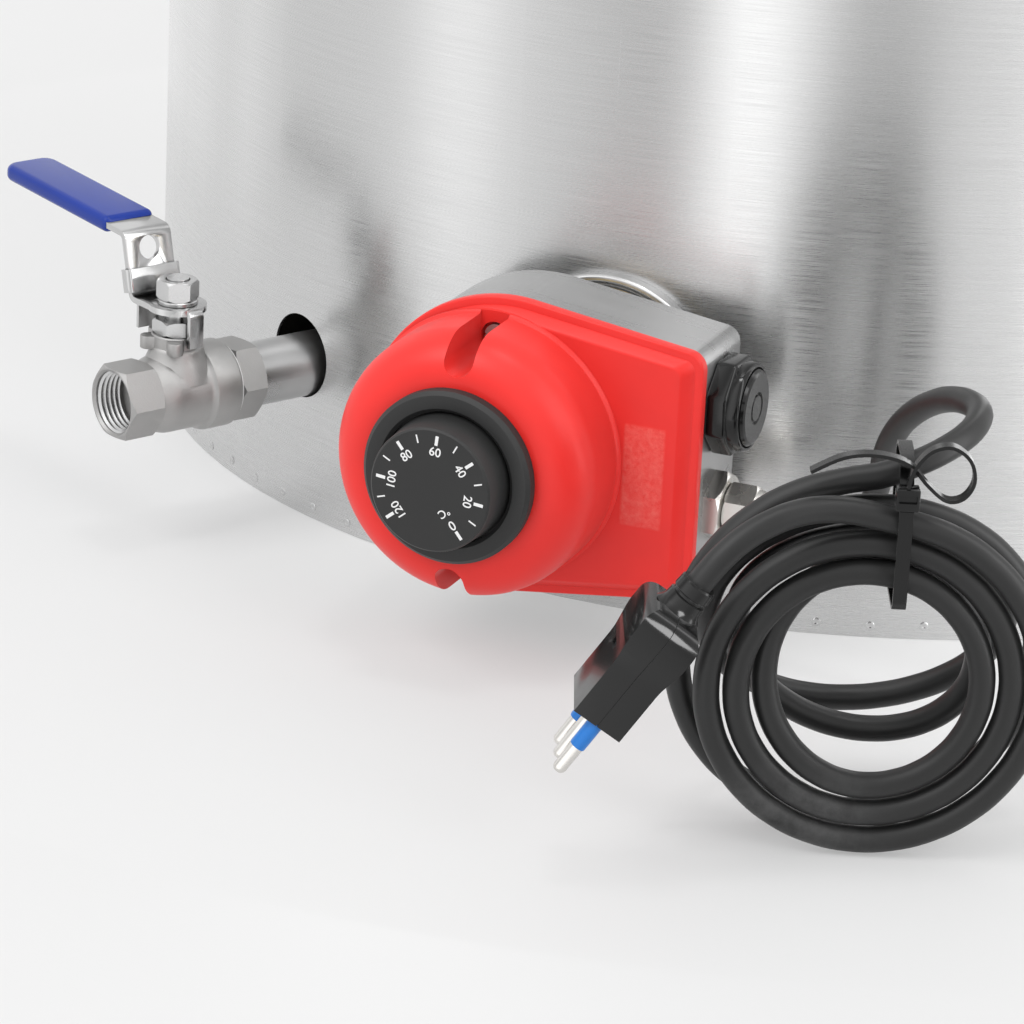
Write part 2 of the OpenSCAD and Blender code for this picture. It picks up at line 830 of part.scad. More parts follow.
module lever_nut() {
  color("silver")
    at_valve()
      translate([0, 0, nut_z])
        difference() {
          hex_bar(12, nut_h);
          translate([0, 0, -1])
            cylinder(r = screw_r + fit, h = nut_h + 2);
        }
}

// Heater
module heater_socket() {
  color("silver")
    at_heater()
      difference() {
        translate([socket_x, socket_z, vessel_in - 7])
          cylinder(r = socket_r, h = plug_face - vessel_in + 7);
        translate([socket_x, socket_z, 0])
          cylinder(r = plug_r + fit, h = tank_d);
      }
}

module socket_collar() {
  color("lightgray")
    difference() {
      at_heater()
        translate([socket_x, socket_z, plug_face - collar_t])
          rotate_extrude()
            polygon(concat([[socket_r + fit, 0], [collar_r, 0]],
              arc([collar_r - 1.2, collar_t - 1.2], 1.2, 0, 180, 8), [[socket_r + fit, collar_t - 1.2]]));
      cylinder(r = tank_r + fit, h = tank_h);
    }
}

module heater_gasket() {
  color("black")
    at_heater()
      translate([socket_x, socket_z, plug_face])
        tube(socket_r - 0.4, plug_r + 0.2, gasket_t);
}

module element_spots() {
  for (x = [-element_x, 0, element_x])
    translate([socket_x + x, socket_z, 0])
      children();
}

module heater_plug() {
  color("gray")
    at_heater()
      difference() {
        translate([socket_x, socket_z, 0]) {
          translate([0, 0, vessel_in])
            cylinder(r = plug_r, h = flange_back - vessel_in + 1);
          translate([0, 0, flange_back])
            cylinder(r = socket_r - 0.4, h = plug_flange_t);
        }
        element_spots()
          for (s = [-1, 1])
            translate([0, s * element_z, 0])
              cylinder(r = element_r + fit, h = tank_d, $fn = 48);
        translate([socket_x, socket_z, 0])
          cylinder(r = well_r + fit, h = tank_d, $fn = 48);
        for (a = box_screw_turns)
          translate([socket_x + box_screw_r * cos(a), socket_z + box_screw_r * sin(a), box_back - 8])
            cylinder(r = 1.3, h = 20, $fn = 32);
      }
}

module heating_elements() {
  color("dimgray")
    at_heater()
      element_spots() {
        for (s = [-1, 1]) {
          translate([0, s * element_z, vessel_in - element_l])
            cylinder(r = element_r, h = box_floor + 3 - vessel_in + element_l, $fn = 32);
          translate([0, s * element_z, box_floor + 3])
            cylinder(r = 1.8, h = 7, $fn = 32);
        }
        translate([0, 0, vessel_in - element_l])
          rotate([0, 90, 0])
            rotate([0, 0, -90])
              rotate_extrude(angle = 180)
                translate([element_z, 0])
                  circle(r = element_r, $fn = 32);
      }
}

module thermowell() {
  color("silver")
    at_heater()
      translate([socket_x, socket_z, vessel_in - 150])
        difference() {
          cylinder(r = well_r, h = box_floor + 2 - vessel_in + 150, $fn = 48);
          translate([0, 0, 2])
            cylinder(r = well_bore, h = 400, $fn = 48);
        }
}

module thermostat_bulb() {
  color("peru")
    at_heater() {
      translate([socket_x, socket_z, vessel_in - 147])
        cylinder(r = well_bore - 0.4, h = 90, $fn = 32);
      sweep([[socket_x, socket_z, vessel_in - 58], [socket_x, socket_z, box_floor],
        [socket_x - 1, socket_z, box_floor + 8], [socket_x - 6, socket_z - 3, box_floor + 16],
        [-dome_x + 6, lobe_z + 2, dome_in - thermostat_l - 9], [-dome_x + 4, lobe_z, dome_in - thermostat_l]],
        round_section(0.9, 8), [0, 1, 0]);
    }
}

module heater_box() {
  color("lightgray")
    at_heater()
      difference() {
        box_slab(0, box_back, box_front);
        box_slab(-box_t, box_floor, box_front + 1);
        translate([socket_x, socket_z, box_back - 1])
          cylinder(r = box_hole_r, h = 5);
        for (a = box_screw_turns)
          translate([socket_x + box_screw_r * cos(a), socket_z + box_screw_r * sin(a), box_back - 1])
            cylinder(r = 1.6 + fit, h = 5, $fn = 32);
        translate([0, reset_z, side_z])
          bar_x(bush2_r + fit, box_right - 10, box_right + 5);
        translate([0, gland_z, side_z])
          bar_x(shank_r + fit, box_right - 10, box_right + 5);
        translate([-lobe_x - 22, lobe_z - 24, box_back - 1])
          cylinder(r = bolt_r + fit, h = 5, $fn = 32);
        for (s = [-1, 1])
          translate([-dome_x, lobe_z + s * channel_out, box_back - 1])
            cylinder(r = bolt_r + fit, h = 5, $fn = 32);
      }
}

module box_screws() {
  color("silver")
    at_heater()
      for (a = box_screw_turns)
        translate([socket_x + box_screw_r * cos(a), socket_z + box_screw_r * sin(a), 0]) {
          translate([0, 0, box_floor])
            cylinder(r = 2.6, h = 2, $fn = 32);
          translate([0, 0, box_back - 6])
            cylinder(r = 1.25, h = box_t + 6.5, $fn = 32);
        }
}

module dome_shape(inset) {
  r = dome_r - inset;
  h = dome_front - inset - panel_front + 2;
  b = dome_round - inset;
  translate([-dome_x, lobe_z, panel_front - 2])
    rotate_extrude()
      polygon(concat([[0, 0], [r, 0]], arc([r - b, h - b], b, 0, 90, 10), [[0, h]]));
}

// Channel open towards the dome's outer side
module channel_shape(r, s) {
  linear_extrude(500)
    polygon(s > 0 ? concat(arc([0, 0], r, 180, 360, 24), [[r, 10], [-r, 10]]) :
      concat(arc([0, 0], r, 0, 180, 24), [[-r, -10], [r, -10]]));
}

module heater_cover() {
  color("red")
    at_heater()
      difference() {
        union() {
          box_slab(cover_lip, box_front, flange_front);
          box_slab(-1.4, flange_front, panel_front);
          dome_shape(0);
        }
        difference() {
          union() {
            box_slab(-cover_t, box_front - 1, panel_front - cover_t);
            dome_shape(cover_t);
            translate([-dome_x, lobe_z, panel_front - cover_t - 1])
              cylinder(r = dome_r - cover_t, h = cover_t + 2);
          }
          for (s = [-1, 1])
            translate([-dome_x, lobe_z + s * channel_out, 0])
              channel_shape(channel_r + 1.75, s);
        }
        for (s = [-1, 1])
          translate([-dome_x, lobe_z + s * channel_out, 0]) {
            translate([0, 0, flange_front])
              cylinder(r = channel_r, h = panel_t + 1);
            translate([0, 0, panel_front])
              channel_shape(channel_r + 0.15, s);
            cylinder(r = bolt_r + fit, h = 500);
          }
        translate([-dome_x, lobe_z, panel_front])
          cylinder(r = bush_r + fit, h = 100);
        for (s = [-1, 1])
          translate([-dome_x, lobe_z + s * channel_out, box_front - 5])
            cylinder(r = pillar_r + gap, h = 5 + 1);
      }
}

module cover_screws() {
  color("silver")
    at_heater()
      for (s = [-1, 1])
        translate([-dome_x, lobe_z + s * channel_out, 0])
          difference() {
            union() {
              translate([0, 0, flange_front])
                cylinder(r = 3.6, h = 2.4, $fn = 48);
              translate([0, 0, box_front - 8])
                cylinder(r = bolt_r, h = flange_front - box_front + 9, $fn = 32);
            }
            translate([-5, -0.4, flange_front + 1.5])
              cube([10, 0.8, 5]);
          }
}

module cover_pillars() {
  color("silver")
    at_heater()
      for (s = [-1, 1])
        translate([-dome_x, lobe_z + s * channel_out, 0])
          difference() {
            union() {
              translate([0, 0, box_floor])
                cylinder(r = pillar_r, h = box_front + 1 - box_floor, $fn = 48);
              translate([0, 0, box_back])
                cylinder(r = bolt_r, h = box_t + 1, $fn = 32);
            }
            translate([0, 0, box_front - 12])
              cylinder(r = bolt_r + fit, h = 20, $fn = 32);
          }
}

module dial_bezel() {
  color("dimgray")
    at_heater()
      translate([-dome_x, lobe_z, dome_front])
        difference() {
          rotate_extrude()
            polygon([[0, 0], [bezel_r, 0], [bezel_r, bezel_h - 0.8], [bezel_r - 0.8, bezel_h],
              [bezel_in + 0.6, bezel_h], [bezel_in, bezel_h - 0.6], [bezel_in, bezel_floor], [0, bezel_floor]]);
          translate([0, 0, -1])
            cylinder(r = bush_r + fit, h = 10);
        }
}

module dial_knob() {
  color("dimgray")
    at_heater()
      translate([-dome_x, lobe_z, 0])
        rotate_extrude()
          polygon([[shaft_r + 0.02, dial_back], [shaft_r + 3.5, dial_back], [shaft_r + 3.5, dial_face - 2.5],
            [dial_r - 2.2, dial_face - 2.5], [dial_skirt - 1.8, dial_back], [dial_skirt, dial_back],
            [dial_r, dial_face - 0.7], [dial_r - 0.7, dial_face], [0, dial_face], [0, dial_face - 2.5],
            [shaft_r + 0.02, dial_face - 2.5]]);
}

module thermostat_shaft() {
  color("silver")
    at_heater()
      translate([-dome_x, lobe_z, dome_in - 14])
        cylinder(r = shaft_r, h = dial_face - 2.5 - dome_in + 14);
}

module thermostat() {
  color("tan")
    at_heater()
      difference() {
        union() {
          translate([-dome_x - thermostat_w / 2, lobe_z - thermostat_h / 2, dome_in - thermostat_l])
            cube([thermostat_w, thermostat_h, thermostat_l]);
          translate([-dome_x, lobe_z, dome_in - 1])
            cylinder(r = bush_r, h = cover_t + bezel_floor + 1);
        }
        translate([-dome_x, lobe_z, dome_in - 14])
          cylinder(r = shaft_r + fit, h = 60);
      }
}

module safety_thermostat() {
  color("tan")
    at_heater()
      difference() {
        union() {
          translate([wall_in - 20, reset_z - 9, side_z - 10])
            cube([20, 18, 20]);
          translate([0, reset_z, side_z])
            bar_x(bush2_r, wall_in - 1, box_right + 5.5);
        }
        translate([0, reset_z, side_z])
          bar_x(plunger_r + fit, wall_in - 12, box_right + 20);
      }
}

module reset_nut() {
  color("black")
    at_heater()
      translate([0, reset_z, side_z])
        difference() {
          union() {
            translate([box_right, 0, 0])
              rotate([0, 90, 0])
                rotate([0, 0, 22.5])
                  cylinder(r = reset_af / 2 / cos(22.5), h = nut_front - box_right, $fn = 8);
            bar_x(reset_cap_r + 2, nut_front - 1, nut_collar);
          }
          bar_x(bush2_r + fit, box_right - 1, nut_front + 1);
          bar_x(reset_cap_r + 0.4, nut_front, nut_collar + 1);
        }
}

module reset_button() {
  color("black")
    at_heater()
      translate([0, reset_z, side_z]) {
        bar_x(plunger_r, wall_in - 9, cap_back + 1);
        translate([cap_back, 0, 0])
          rotate([0, 90, 0])
            rotate_extrude()
              polygon([[0, 0], [reset_cap_r, 0], [reset_cap_r, 1.8], [reset_cap_r - 1.2, 3], [0, 3]]);
      }
}

module terminal_block() {
  color("white")
    at_heater()
      translate([8, lobe_z - 30, box_floor])
        difference() {
          cube([26, 13, 14]);
          for (x = [5, 13, 21])
            translate([x, 6.5, 6])
              cylinder(r = 2.2, h = 20, $fn = 32);
        }
}

module earth_screw() {
  color("gold")
    at_heater()
      translate([-lobe_x - 22, lobe_z - 24, 0]) {
        translate([0, 0, box_floor])
          cylinder(r = 4, h = 3, $fn = 48);
        translate([0, 0, box_back - 2])
          cylinder(r = bolt_r, h = box_t + 12, $fn = 32);
      }
}

module gland_body() {
  color("silver")
    at_heater()
      translate([0, gland_z, side_z])
        difference() {
          union() {
            hex_bar_x(gland_af, box_right, gland_hex_end);
            bar_x(shank_r, wall_in - 7, box_right + 1);
            bar_x(6, gland_hex_end - 1, gland_spigot);
          }
          bar_x(cord_r + 0.9, wall_in - 10, gland_end);
        }
}

module gland_locknut() {
  color("silver")
    at_heater()
      translate([0, gland_z, side_z])
        difference() {
          hex_bar_x(gland_af - 1, wall_in - 4, wall_in);
          bar_x(shank_r + fit, wall_in - 6, box_right);
        }
}

module gland_seal() {
  color("black")
    at_heater()
      translate([0, gland_z, side_z])
        difference() {
          bar_x(cord_r + 0.9 - fit, gland_hex_end - 2, gland_end);
          bar_x(cord_r - 0.8, gland_hex_end - 3, gland_end + 1);
        }
}

module gland_nut() {
  color("silver")
    at_heater()
      translate([0, gland_z, side_z])
        difference() {
          union() {
            hex_bar_x(gland_nut_af, gland_hex_end, gland_end - 4);
            translate([gland_end - 4, 0, 0])
              rotate([0, 90, 0])
                cylinder(r1 = gland_nut_af / 2, r2 = gland_nut_af / 2 - 2, h = 4);
          }
          bar_x(6 + fit, gland_hex_end - 1, gland_spigot + 0.3);
          bar_x(cord_r + 0.9, gland_hex_end - 1, gland_end + 1);
        }
}

// Cord
module cord_lead() {
  color("black")
    sweep(lead_path, round_section(cord_r, 8), [0, 0, 1]);
}

module cord_coil() {
  color("black")
    at_coil()
      sweep(coil_path, round_section(cord_r, 6), [0, 1, 0]);
}

module cord_tail() {
  color("black")
    at_coil()
      sweep(tail_path, round_section(cord_r, 8), [0, 1, 0]);
}

module zip_tie() {
  low = front_z + coil_rho(coil_s1 - 2) - cord_r - 2 * tie_gap - 2.4;
  rear_high = rear_z + coil_rho(0) + cord_r + 5.2;
  front_high = front_z + coil_rho(coil_s1) + cord_r + 2 * tie_gap;
  rear_y = layer_gap + cord_r + 2 * tie_gap + 2.6;
  front_y = -cord_r - tie_gap - coil_lean - 0.6;
  mid_y = layer_gap - cord_r;
  color("black")
    at_coil() {
      translate([tie_u - tie_w / 2, 0, 0])
        rotate([90, 0, 90])
          linear_extrude(tie_w)
            difference() {
              polygon([[front_y - tie_t, low - tie_t], [rear_y + tie_t, low - tie_t], [rear_y + tie_t, rear_high + tie_t],
                [mid_y - 0.5, rear_high + tie_t], [front_y - tie_t, front_high + 0.6]]);
              polygon([[front_y, low], [rear_y, low], [rear_y, rear_high], [mid_y, rear_high], [front_y, front_high]]);
            }
      translate([tie_u - 3.4, front_y - 2.8, front_high + 0.6])
        cube([6.8, 5.6, 6.4]);
      sweep(concat([[tie_u, front_y, front_high + 4]], strap_points),
        [[-tie_t / 2, -tie_w / 2 + 0.2], [tie_t / 2, -tie_w / 2 + 0.2], [tie_t / 2, tie_w / 2 - 0.2],
          [-tie_t / 2, tie_w / 2 - 0.2]], [0, 1, 0]);
    }
}

module plug_body() {
  color("black")
    at_plug()
      hull()
        for (p = [[collar_l + 1.5, plug_t / 2 - 4, plug_w / 2 - 6], [collar_l + 9, plug_t / 2 - 1.5, plug_w / 2 - 1.5],
          [collar_l + plug_l - 1.5, plug_t / 2 - 1.5, plug_w / 2 - 1.5]])
          for (i = [-1, 1])
            for (j = [-1, 1])
              translate([i * p[1], j * p[2], p[0]])
                sphere(r = 1.5, $fn = 16);
}

module plug_collar() {
  color("black")
    at_plug() {
      cylinder(r1 = cord_r + 1.4, r2 = cord_r + 2.2, h = collar_l - 3);
      translate([0, 0, collar_l - 3])
        cylinder(r = cord_r + 1, h = 3);
    }
}

module pin_spots() {
  for (y = [-9.5, 0, 9.5])
    translate([0, y, collar_l + plug_l])
      children();
}

module plug_pins() {
  color("silver")
    at_plug()
      pin_spots()
        rotate_extrude($fn = 32)
          polygon([[0, 0], [pin_r, 0], [pin_r, pin_l - 1.2], [pin_r - 0.9, pin_l], [0, pin_l]]);
}

module pin_sleeves() {
  color("blue")
    at_plug()
      for (y = [-9.5, 9.5])
        translate([0, y, collar_l + plug_l])
          difference() {
            cylinder(r = pin_r + 0.35, h = pin_l / 2, $fn = 32);
            translate([0, 0, -1])
              cylinder(r = pin_r + fit, h = pin_l, $fn = 32);
          }
}

outer_casing();
base_pan();
inner_vessel();
insulation_wrap();
insulation_floor();
top_rim();
lid();
lid_knob();
lid_knob_screw();
side_handles();
handle_rivets();
outlet_pipe();
valve_body();
valve_cap();
cap_gasket();
valve_ball();
valve_seats();
valve_stem();
stem_packing();
packing_nut();
valve_lever();
lever_sleeve();
lever_lock();
lever_washer();
lever_nut();
heater_socket();
socket_collar();
heater_gasket();
heater_plug();
heating_elements();
thermowell();
thermostat_bulb();
heater_box();
box_screws();
heater_cover();
cover_screws();
cover_pillars();
dial_bezel();
dial_knob();
thermostat_shaft();
thermostat();
safety_thermostat();
reset_nut();
reset_button();
terminal_block();
earth_screw();
gland_body();
gland_locknut();
gland_seal();
gland_nut();
cord_lead();
cord_coil();
cord_tail();
zip_tie();
plug_body();
plug_collar();
plug_pins();
pin_sleeves();
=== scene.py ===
import bpy
import math
from mathutils import Matrix, Vector


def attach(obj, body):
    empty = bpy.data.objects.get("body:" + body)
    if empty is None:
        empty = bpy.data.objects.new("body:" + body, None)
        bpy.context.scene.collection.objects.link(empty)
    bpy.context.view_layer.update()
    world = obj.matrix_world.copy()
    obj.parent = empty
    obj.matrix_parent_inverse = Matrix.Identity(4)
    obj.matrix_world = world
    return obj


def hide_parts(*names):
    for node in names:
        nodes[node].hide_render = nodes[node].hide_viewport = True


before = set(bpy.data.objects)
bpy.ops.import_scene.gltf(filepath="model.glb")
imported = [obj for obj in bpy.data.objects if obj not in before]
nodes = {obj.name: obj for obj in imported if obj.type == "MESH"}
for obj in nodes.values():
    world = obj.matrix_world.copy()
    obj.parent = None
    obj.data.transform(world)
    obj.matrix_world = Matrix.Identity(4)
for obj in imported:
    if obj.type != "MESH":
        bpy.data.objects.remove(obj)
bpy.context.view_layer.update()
MM = 0.001
bpy.ops.object.select_all(action="DESELECT")

# Frames of the sub-assemblies
def turn(angle, axis):
    return Matrix.Rotation(math.radians(angle), 4, axis)

def shift(x, y, z):
    return Matrix.Translation((x * MM, y * MM, z * MM))

valve_turn, valve_spot = -28.3, (0, -300, 51.5)
neck_lean, neck_spot = 76, (-13.5, 0, 28.8)
grip_lean, grip_spot = 3, (-18.58, 0, 49.18)
plug_tilt, plug_spot = 214.2, (-55, -17.5, 86)
box_mid_y = -275
dial_x, dial_z = -17.5, 65
in_valve = turn(valve_turn, "Z") @ shift(*valve_spot)
in_bore = in_valve @ turn(-90, "X")
in_flat = in_valve @ turn(90, "X")
in_neck = in_valve @ shift(*neck_spot) @ turn(neck_lean - 180, "Y")
in_grip = in_valve @ shift(*grip_spot) @ turn(grip_lean - 180, "Y")
in_heater = turn(90, "X")
in_coil = shift(143, -390, 0) @ turn(22, "Z")
in_plug = in_coil @ shift(*plug_spot) @ turn(plug_tilt, "Y")
in_dial = in_heater @ shift(dial_x, dial_z, 0)
in_reset = shift(0, box_mid_y, 84) @ turn(90, "Y")
in_gland = shift(0, box_mid_y, 50.5) @ turn(90, "Y")

# Camera at the photo's point of view
camera_spot = (474.98, -1506.86, 526.55)
camera_azimuth, camera_height, camera_roll = 21.819, 20.3, 2.8156
camera_lens = 158.2

def look():
    az, el, roll = (math.radians(v) for v in (camera_azimuth, camera_height, camera_roll))
    back = Vector((math.sin(az) * math.cos(el), -math.cos(az) * math.cos(el), math.sin(el)))
    right = Vector((math.cos(az), math.sin(az), 0))
    up = back.cross(right)
    across = math.cos(roll) * right + math.sin(roll) * up
    above = math.cos(roll) * up - math.sin(roll) * right
    cam = bpy.data.objects.new("camera", bpy.data.cameras.new("camera"))
    bpy.context.scene.collection.objects.link(cam)
    cam.data.sensor_width = 36
    cam.data.lens = camera_lens
    cam.data.clip_end = 50
    spot = Matrix((across, above, back)).transposed().to_4x4()
    spot.translation = Vector(camera_spot) * MM
    cam.matrix_world = spot
    bpy.context.scene.camera = cam

look()

# Shared shaping steps
def only(obj):
    bpy.ops.object.select_all(action="DESELECT")
    obj.select_set(True)
    bpy.context.view_layer.objects.active = obj

def set_down(obj, place):
    obj.matrix_world = place @ obj.matrix_world
    only(obj)
    bpy.ops.object.transform_apply(location=True, rotation=True, scale=True)
    return obj

def apply_all(obj):
    only(obj)
    for m in list(obj.modifiers):
        bpy.ops.object.modifier_apply(modifier=m.name)
    return obj

def draw_line(name, points):
    bpy.ops.object.select_all(action="DESELECT")
    bpy.ops.mesh.primitive_plane_add(size=0.002)
    obj = bpy.context.object
    obj.name = name
    bpy.ops.object.mode_set(mode="EDIT")
    bpy.ops.mesh.select_all(action="SELECT")
    bpy.ops.mesh.merge(type="CENTER")
    spots = [Vector(p) * MM for p in points]
    bpy.ops.transform.translate(value=spots[0])
    for a, b in zip(spots, spots[1:]):
        bpy.ops.mesh.extrude_vertices_move(TRANSFORM_OT_translate={"value": b - a})
    return obj

def tidy_mesh():
    bpy.ops.mesh.select_all(action="SELECT")
    bpy.ops.mesh.remove_doubles(threshold=0.000002)
    bpy.ops.mesh.normals_make_consistent(inside=False)
    bpy.ops.object.mode_set(mode="OBJECT")

def lathe(name, outline, place, steps=72):
    obj = draw_line(name, [(r, 0, h) for r, h in outline])
    bpy.ops.mesh.select_all(action="SELECT")
    bpy.ops.mesh.spin(steps=steps, angle=2 * math.pi, center=(0, 0, 0), axis=(0, 0, 1))
    tidy_mesh()
    return set_down(obj, place)

def raise_outline(name, outline, low, high):
    obj = draw_line(name, [(x, y, low) for x, y in outline])
    bpy.ops.mesh.select_all(action="SELECT")
    bpy.ops.mesh.edge_face_add()
    bpy.ops.mesh.extrude_region_move(TRANSFORM_OT_translate={"value": (0, 0, (high - low) * MM)})
    return obj

def prism(name, outline, low, high, place):
    obj = raise_outline(name, outline, low, high)
    tidy_mesh()
    return set_down(obj, place)

def tapered(name, outline, low, high, centre, share, place):
    obj = raise_outline(name, outline, low, high)
    middle = (centre[0] * MM, centre[1] * MM, high * MM)
    bpy.ops.transform.resize(value=(share, share, 1), center_override=middle)
    tidy_mesh()
    return set_down(obj, place)

def soften(obj, width, segments=3, angle=30):
    m = obj.modifiers.new("soft edges", "BEVEL")
    m.width = width * MM
    m.segments = segments
    m.limit_method = "ANGLE"
    m.angle_limit = math.radians(angle)
    return apply_all(obj)

def combine(obj, other, how="DIFFERENCE"):
    m = obj.modifiers.new("cut", "BOOLEAN")
    m.operation = how
    m.solver = "EXACT"
    m.object = other
    apply_all(obj)
    bpy.data.objects.remove(other)
    return obj

def rod(name, r, low, high, place, steps=40):
    return lathe(name, [(0, low), (r, low), (r, high), (0, high)], place, steps)

def drill(obj, r, low, high, place, steps=40):
    return combine(obj, rod("bore", r, low, high, place, steps))

def join(name, objs):
    only(objs[0])
    for o in objs[1:]:
        o.select_set(True)
    bpy.ops.object.join()
    objs[0].name = name
    return objs[0]

def piece(obj, material, body, *stands_for, slot=None, angle=32):
    obj.data.materials.clear()
    obj.data.materials.append(material)
    only(obj)
    bpy.ops.object.shade_smooth_by_angle(angle=math.radians(angle))
    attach(obj, body)
    if stands_for:
        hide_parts(*stands_for)
    return obj

def arc(cx, cy, r, a0, a1, n):
    return [(cx + r * math.cos(math.radians(a0 + (a1 - a0) * i / n)),
             cy + r * math.sin(math.radians(a0 + (a1 - a0) * i / n))) for i in range(n + 1)]

def nut_outline(across_flats, first=0, n=6):
    r = across_flats / 2 / math.cos(math.pi / n)
    corners = [math.radians(first + 360 * i / n) for i in range(n)]
    return [(r * math.cos(a), r * math.sin(a)) for a in corners]

# Finishes
def surface(name, colour, rough, metal=0.0, spec=0.5, coat=0.0):
    mat = bpy.data.materials.new(name)
    mat.use_nodes = True
    shader = mat.node_tree.nodes["Principled BSDF"]
    shader.inputs["Base Color"].default_value = (*colour, 1)
    shader.inputs["Roughness"].default_value = rough
    shader.inputs["Metallic"].default_value = metal
    shader.inputs["Specular IOR Level"].default_value = spec
    shader.inputs["Coat Weight"].default_value = coat
    return mat

def add(mat, kind, **settings):
    node = mat.node_tree.nodes.new(kind)
    for key, value in settings.items():
        setattr(node, key, value)
    return node

def wire(mat, a, b):
    mat.node_tree.links.new(a, b)

def shader_of(mat):
    return mat.node_tree.nodes["Principled BSDF"]

def where(mat, scale=(1, 1, 1), place=None):
    coord = add(mat, "ShaderNodeTexCoord")
    mapping = add(mat, "ShaderNodeMapping")
    mapping.inputs["Scale"].default_value = scale
    source = coord.outputs["Object"]
    if place is not None:
        back = place.inverted()
        first = add(mat, "ShaderNodeMapping")
        first.inputs["Location"].default_value = back.translation
        first.inputs["Rotation"].default_value = back.to_euler()
        wire(mat, source, first.inputs["Vector"])
        source = first.outputs["Vector"]
    wire(mat, source, mapping.inputs["Vector"])
    return mapping.outputs["Vector"]

def noise(mat, vector, scale, detail=3.0, rough=0.5):
    n = add(mat, "ShaderNodeTexNoise")
    n.inputs["Scale"].default_value = scale
    n.inputs["Detail"].default_value = detail
    n.inputs["Roughness"].default_value = rough
    wire(mat, vector, n.inputs["Vector"])
    return n.outputs["Fac"]

def ramp(mat, value, stops):
    r = add(mat, "ShaderNodeValToRGB")
    els = r.color_ramp.elements
    while len(els) < len(stops):
        els.new(0.5)
    for el, (pos, col) in zip(els, stops):
        el.position = pos
        el.color = (*col, 1) if len(col) == 3 else col
    wire(mat, value, r.inputs["Fac"])
    return r.outputs["Color"]

def grey(v):
    return (v, v, v)

def stretch(mat, value, low, high):
    m = add(mat, "ShaderNodeMapRange")
    m.inputs["From Min"].default_value = 0.3
    m.inputs["From Max"].default_value = 0.7
    m.inputs["To Min"].default_value = low
    m.inputs["To Max"].default_value = high
    wire(mat, value, m.inputs["Value"])
    return m.outputs["Result"]

def relief(mat, height, depth, strength=1.0, after=None):
    b = add(mat, "ShaderNodeBump")
    b.inputs["Strength"].default_value = strength
    b.inputs["Distance"].default_value = depth * MM
    wire(mat, height, b.inputs["Height"])
    if after is not None:
        wire(mat, after, b.inputs["Normal"])
    wire(mat, b.outputs["Normal"], shader_of(mat).inputs["Normal"])
    return b.outputs["Normal"]

# Rolled sheet: fine grain runs round the tank, with a few longer streaks and slow unevenness
def rolled_steel(name, tone, rough, grain=1.0):
    mat = surface(name, grey(tone), rough, metal=1)
    coord = add(mat, "ShaderNodeTexCoord")
    split = add(mat, "ShaderNodeSeparateXYZ")
    wire(mat, coord.outputs["Object"], split.inputs["Vector"])
    angle = add(mat, "ShaderNodeMath", operation="ARCTAN2")
    wire(mat, split.outputs["X"], angle.inputs[0])
    wire(mat, split.outputs["Y"], angle.inputs[1])
    flat = add(mat, "ShaderNodeCombineXYZ")
    wire(mat, angle.outputs["Value"], flat.inputs["X"])
    wire(mat, split.outputs["Z"], flat.inputs["Z"])
    fine = add(mat, "ShaderNodeMapping")
    fine.inputs["Scale"].default_value = (14, 1, 5200)
    wire(mat, flat.outputs["Vector"], fine.inputs["Vector"])
    long = add(mat, "ShaderNodeMapping")
    long.inputs["Scale"].default_value = (5, 1, 1500)
    wire(mat, flat.outputs["Vector"], long.inputs["Vector"])
    slow = add(mat, "ShaderNodeMapping")
    slow.inputs["Scale"].default_value = (5, 1, 6)
    wire(mat, flat.outputs["Vector"], slow.inputs["Vector"])
    grains = noise(mat, fine.outputs["Vector"], 1.0, 2.0)
    streaks = noise(mat, long.outputs["Vector"], 1.0, 3.0)
    waves = noise(mat, slow.outputs["Vector"], 1.0, 1.0)
    tones = ramp(mat, streaks, [(0.3, grey(tone * 0.97)), (0.7, grey(tone * 1.03))])
    wire(mat, tones, shader_of(mat).inputs["Base Color"])
    wire(mat, stretch(mat, grains, rough - 0.06, rough + 0.08), shader_of(mat).inputs["Roughness"])
    first = relief(mat, grains, 0.003 * grain)
    relief(mat, waves, 0.4 * grain, 0.5, after=first)
    shader_of(mat).inputs["Anisotropic"].default_value = 0.62
    shader_of(mat).inputs["Anisotropic Rotation"].default_value = 0.25
    tangent = add(mat, "ShaderNodeTangent", direction_type="RADIAL", axis="Z")
    wire(mat, tangent.outputs["Tangent"], shader_of(mat).inputs["Tangent"])
    return mat

def worn_metal(name, colour, rough, grain=600, depth=0.02, place=None, stretched=(1, 1, 1)):
    mat = surface(name, colour, rough, metal=1)
    at = where(mat, stretched, place)
    fine = noise(mat, at, grain, 3.0)
    broad = noise(mat, at, grain / 14, 3.0)
    wire(mat, stretch(mat, broad, rough - 0.07, rough + 0.09), shader_of(mat).inputs["Roughness"])
    dull, clean = tuple(c * 0.9 for c in colour), tuple(min(1, c * 1.06) for c in colour)
    wire(mat, ramp(mat, broad, [(0.25, dull), (0.75, clean)]), shader_of(mat).inputs["Base Color"])
    relief(mat, fine, depth)
    return mat

def moulded(name, colour, rough, grain=900, depth=0.015, spec=0.5, coat=0.0):
    mat = surface(name, colour, rough, spec=spec, coat=coat)
    at = where(mat)
    fine = noise(mat, at, grain, 2.0)
    broad = noise(mat, at, 45, 3.0)
    wire(mat, stretch(mat, broad, rough - 0.05, rough + 0.07), shader_of(mat).inputs["Roughness"])
    dull, clean = tuple(c * 0.93 for c in colour), tuple(min(1, c * 1.05) for c in colour)
    wire(mat, ramp(mat, broad, [(0.2, dull), (0.8, clean)]), shader_of(mat).inputs["Base Color"])
    relief(mat, fine, depth)
    return mat

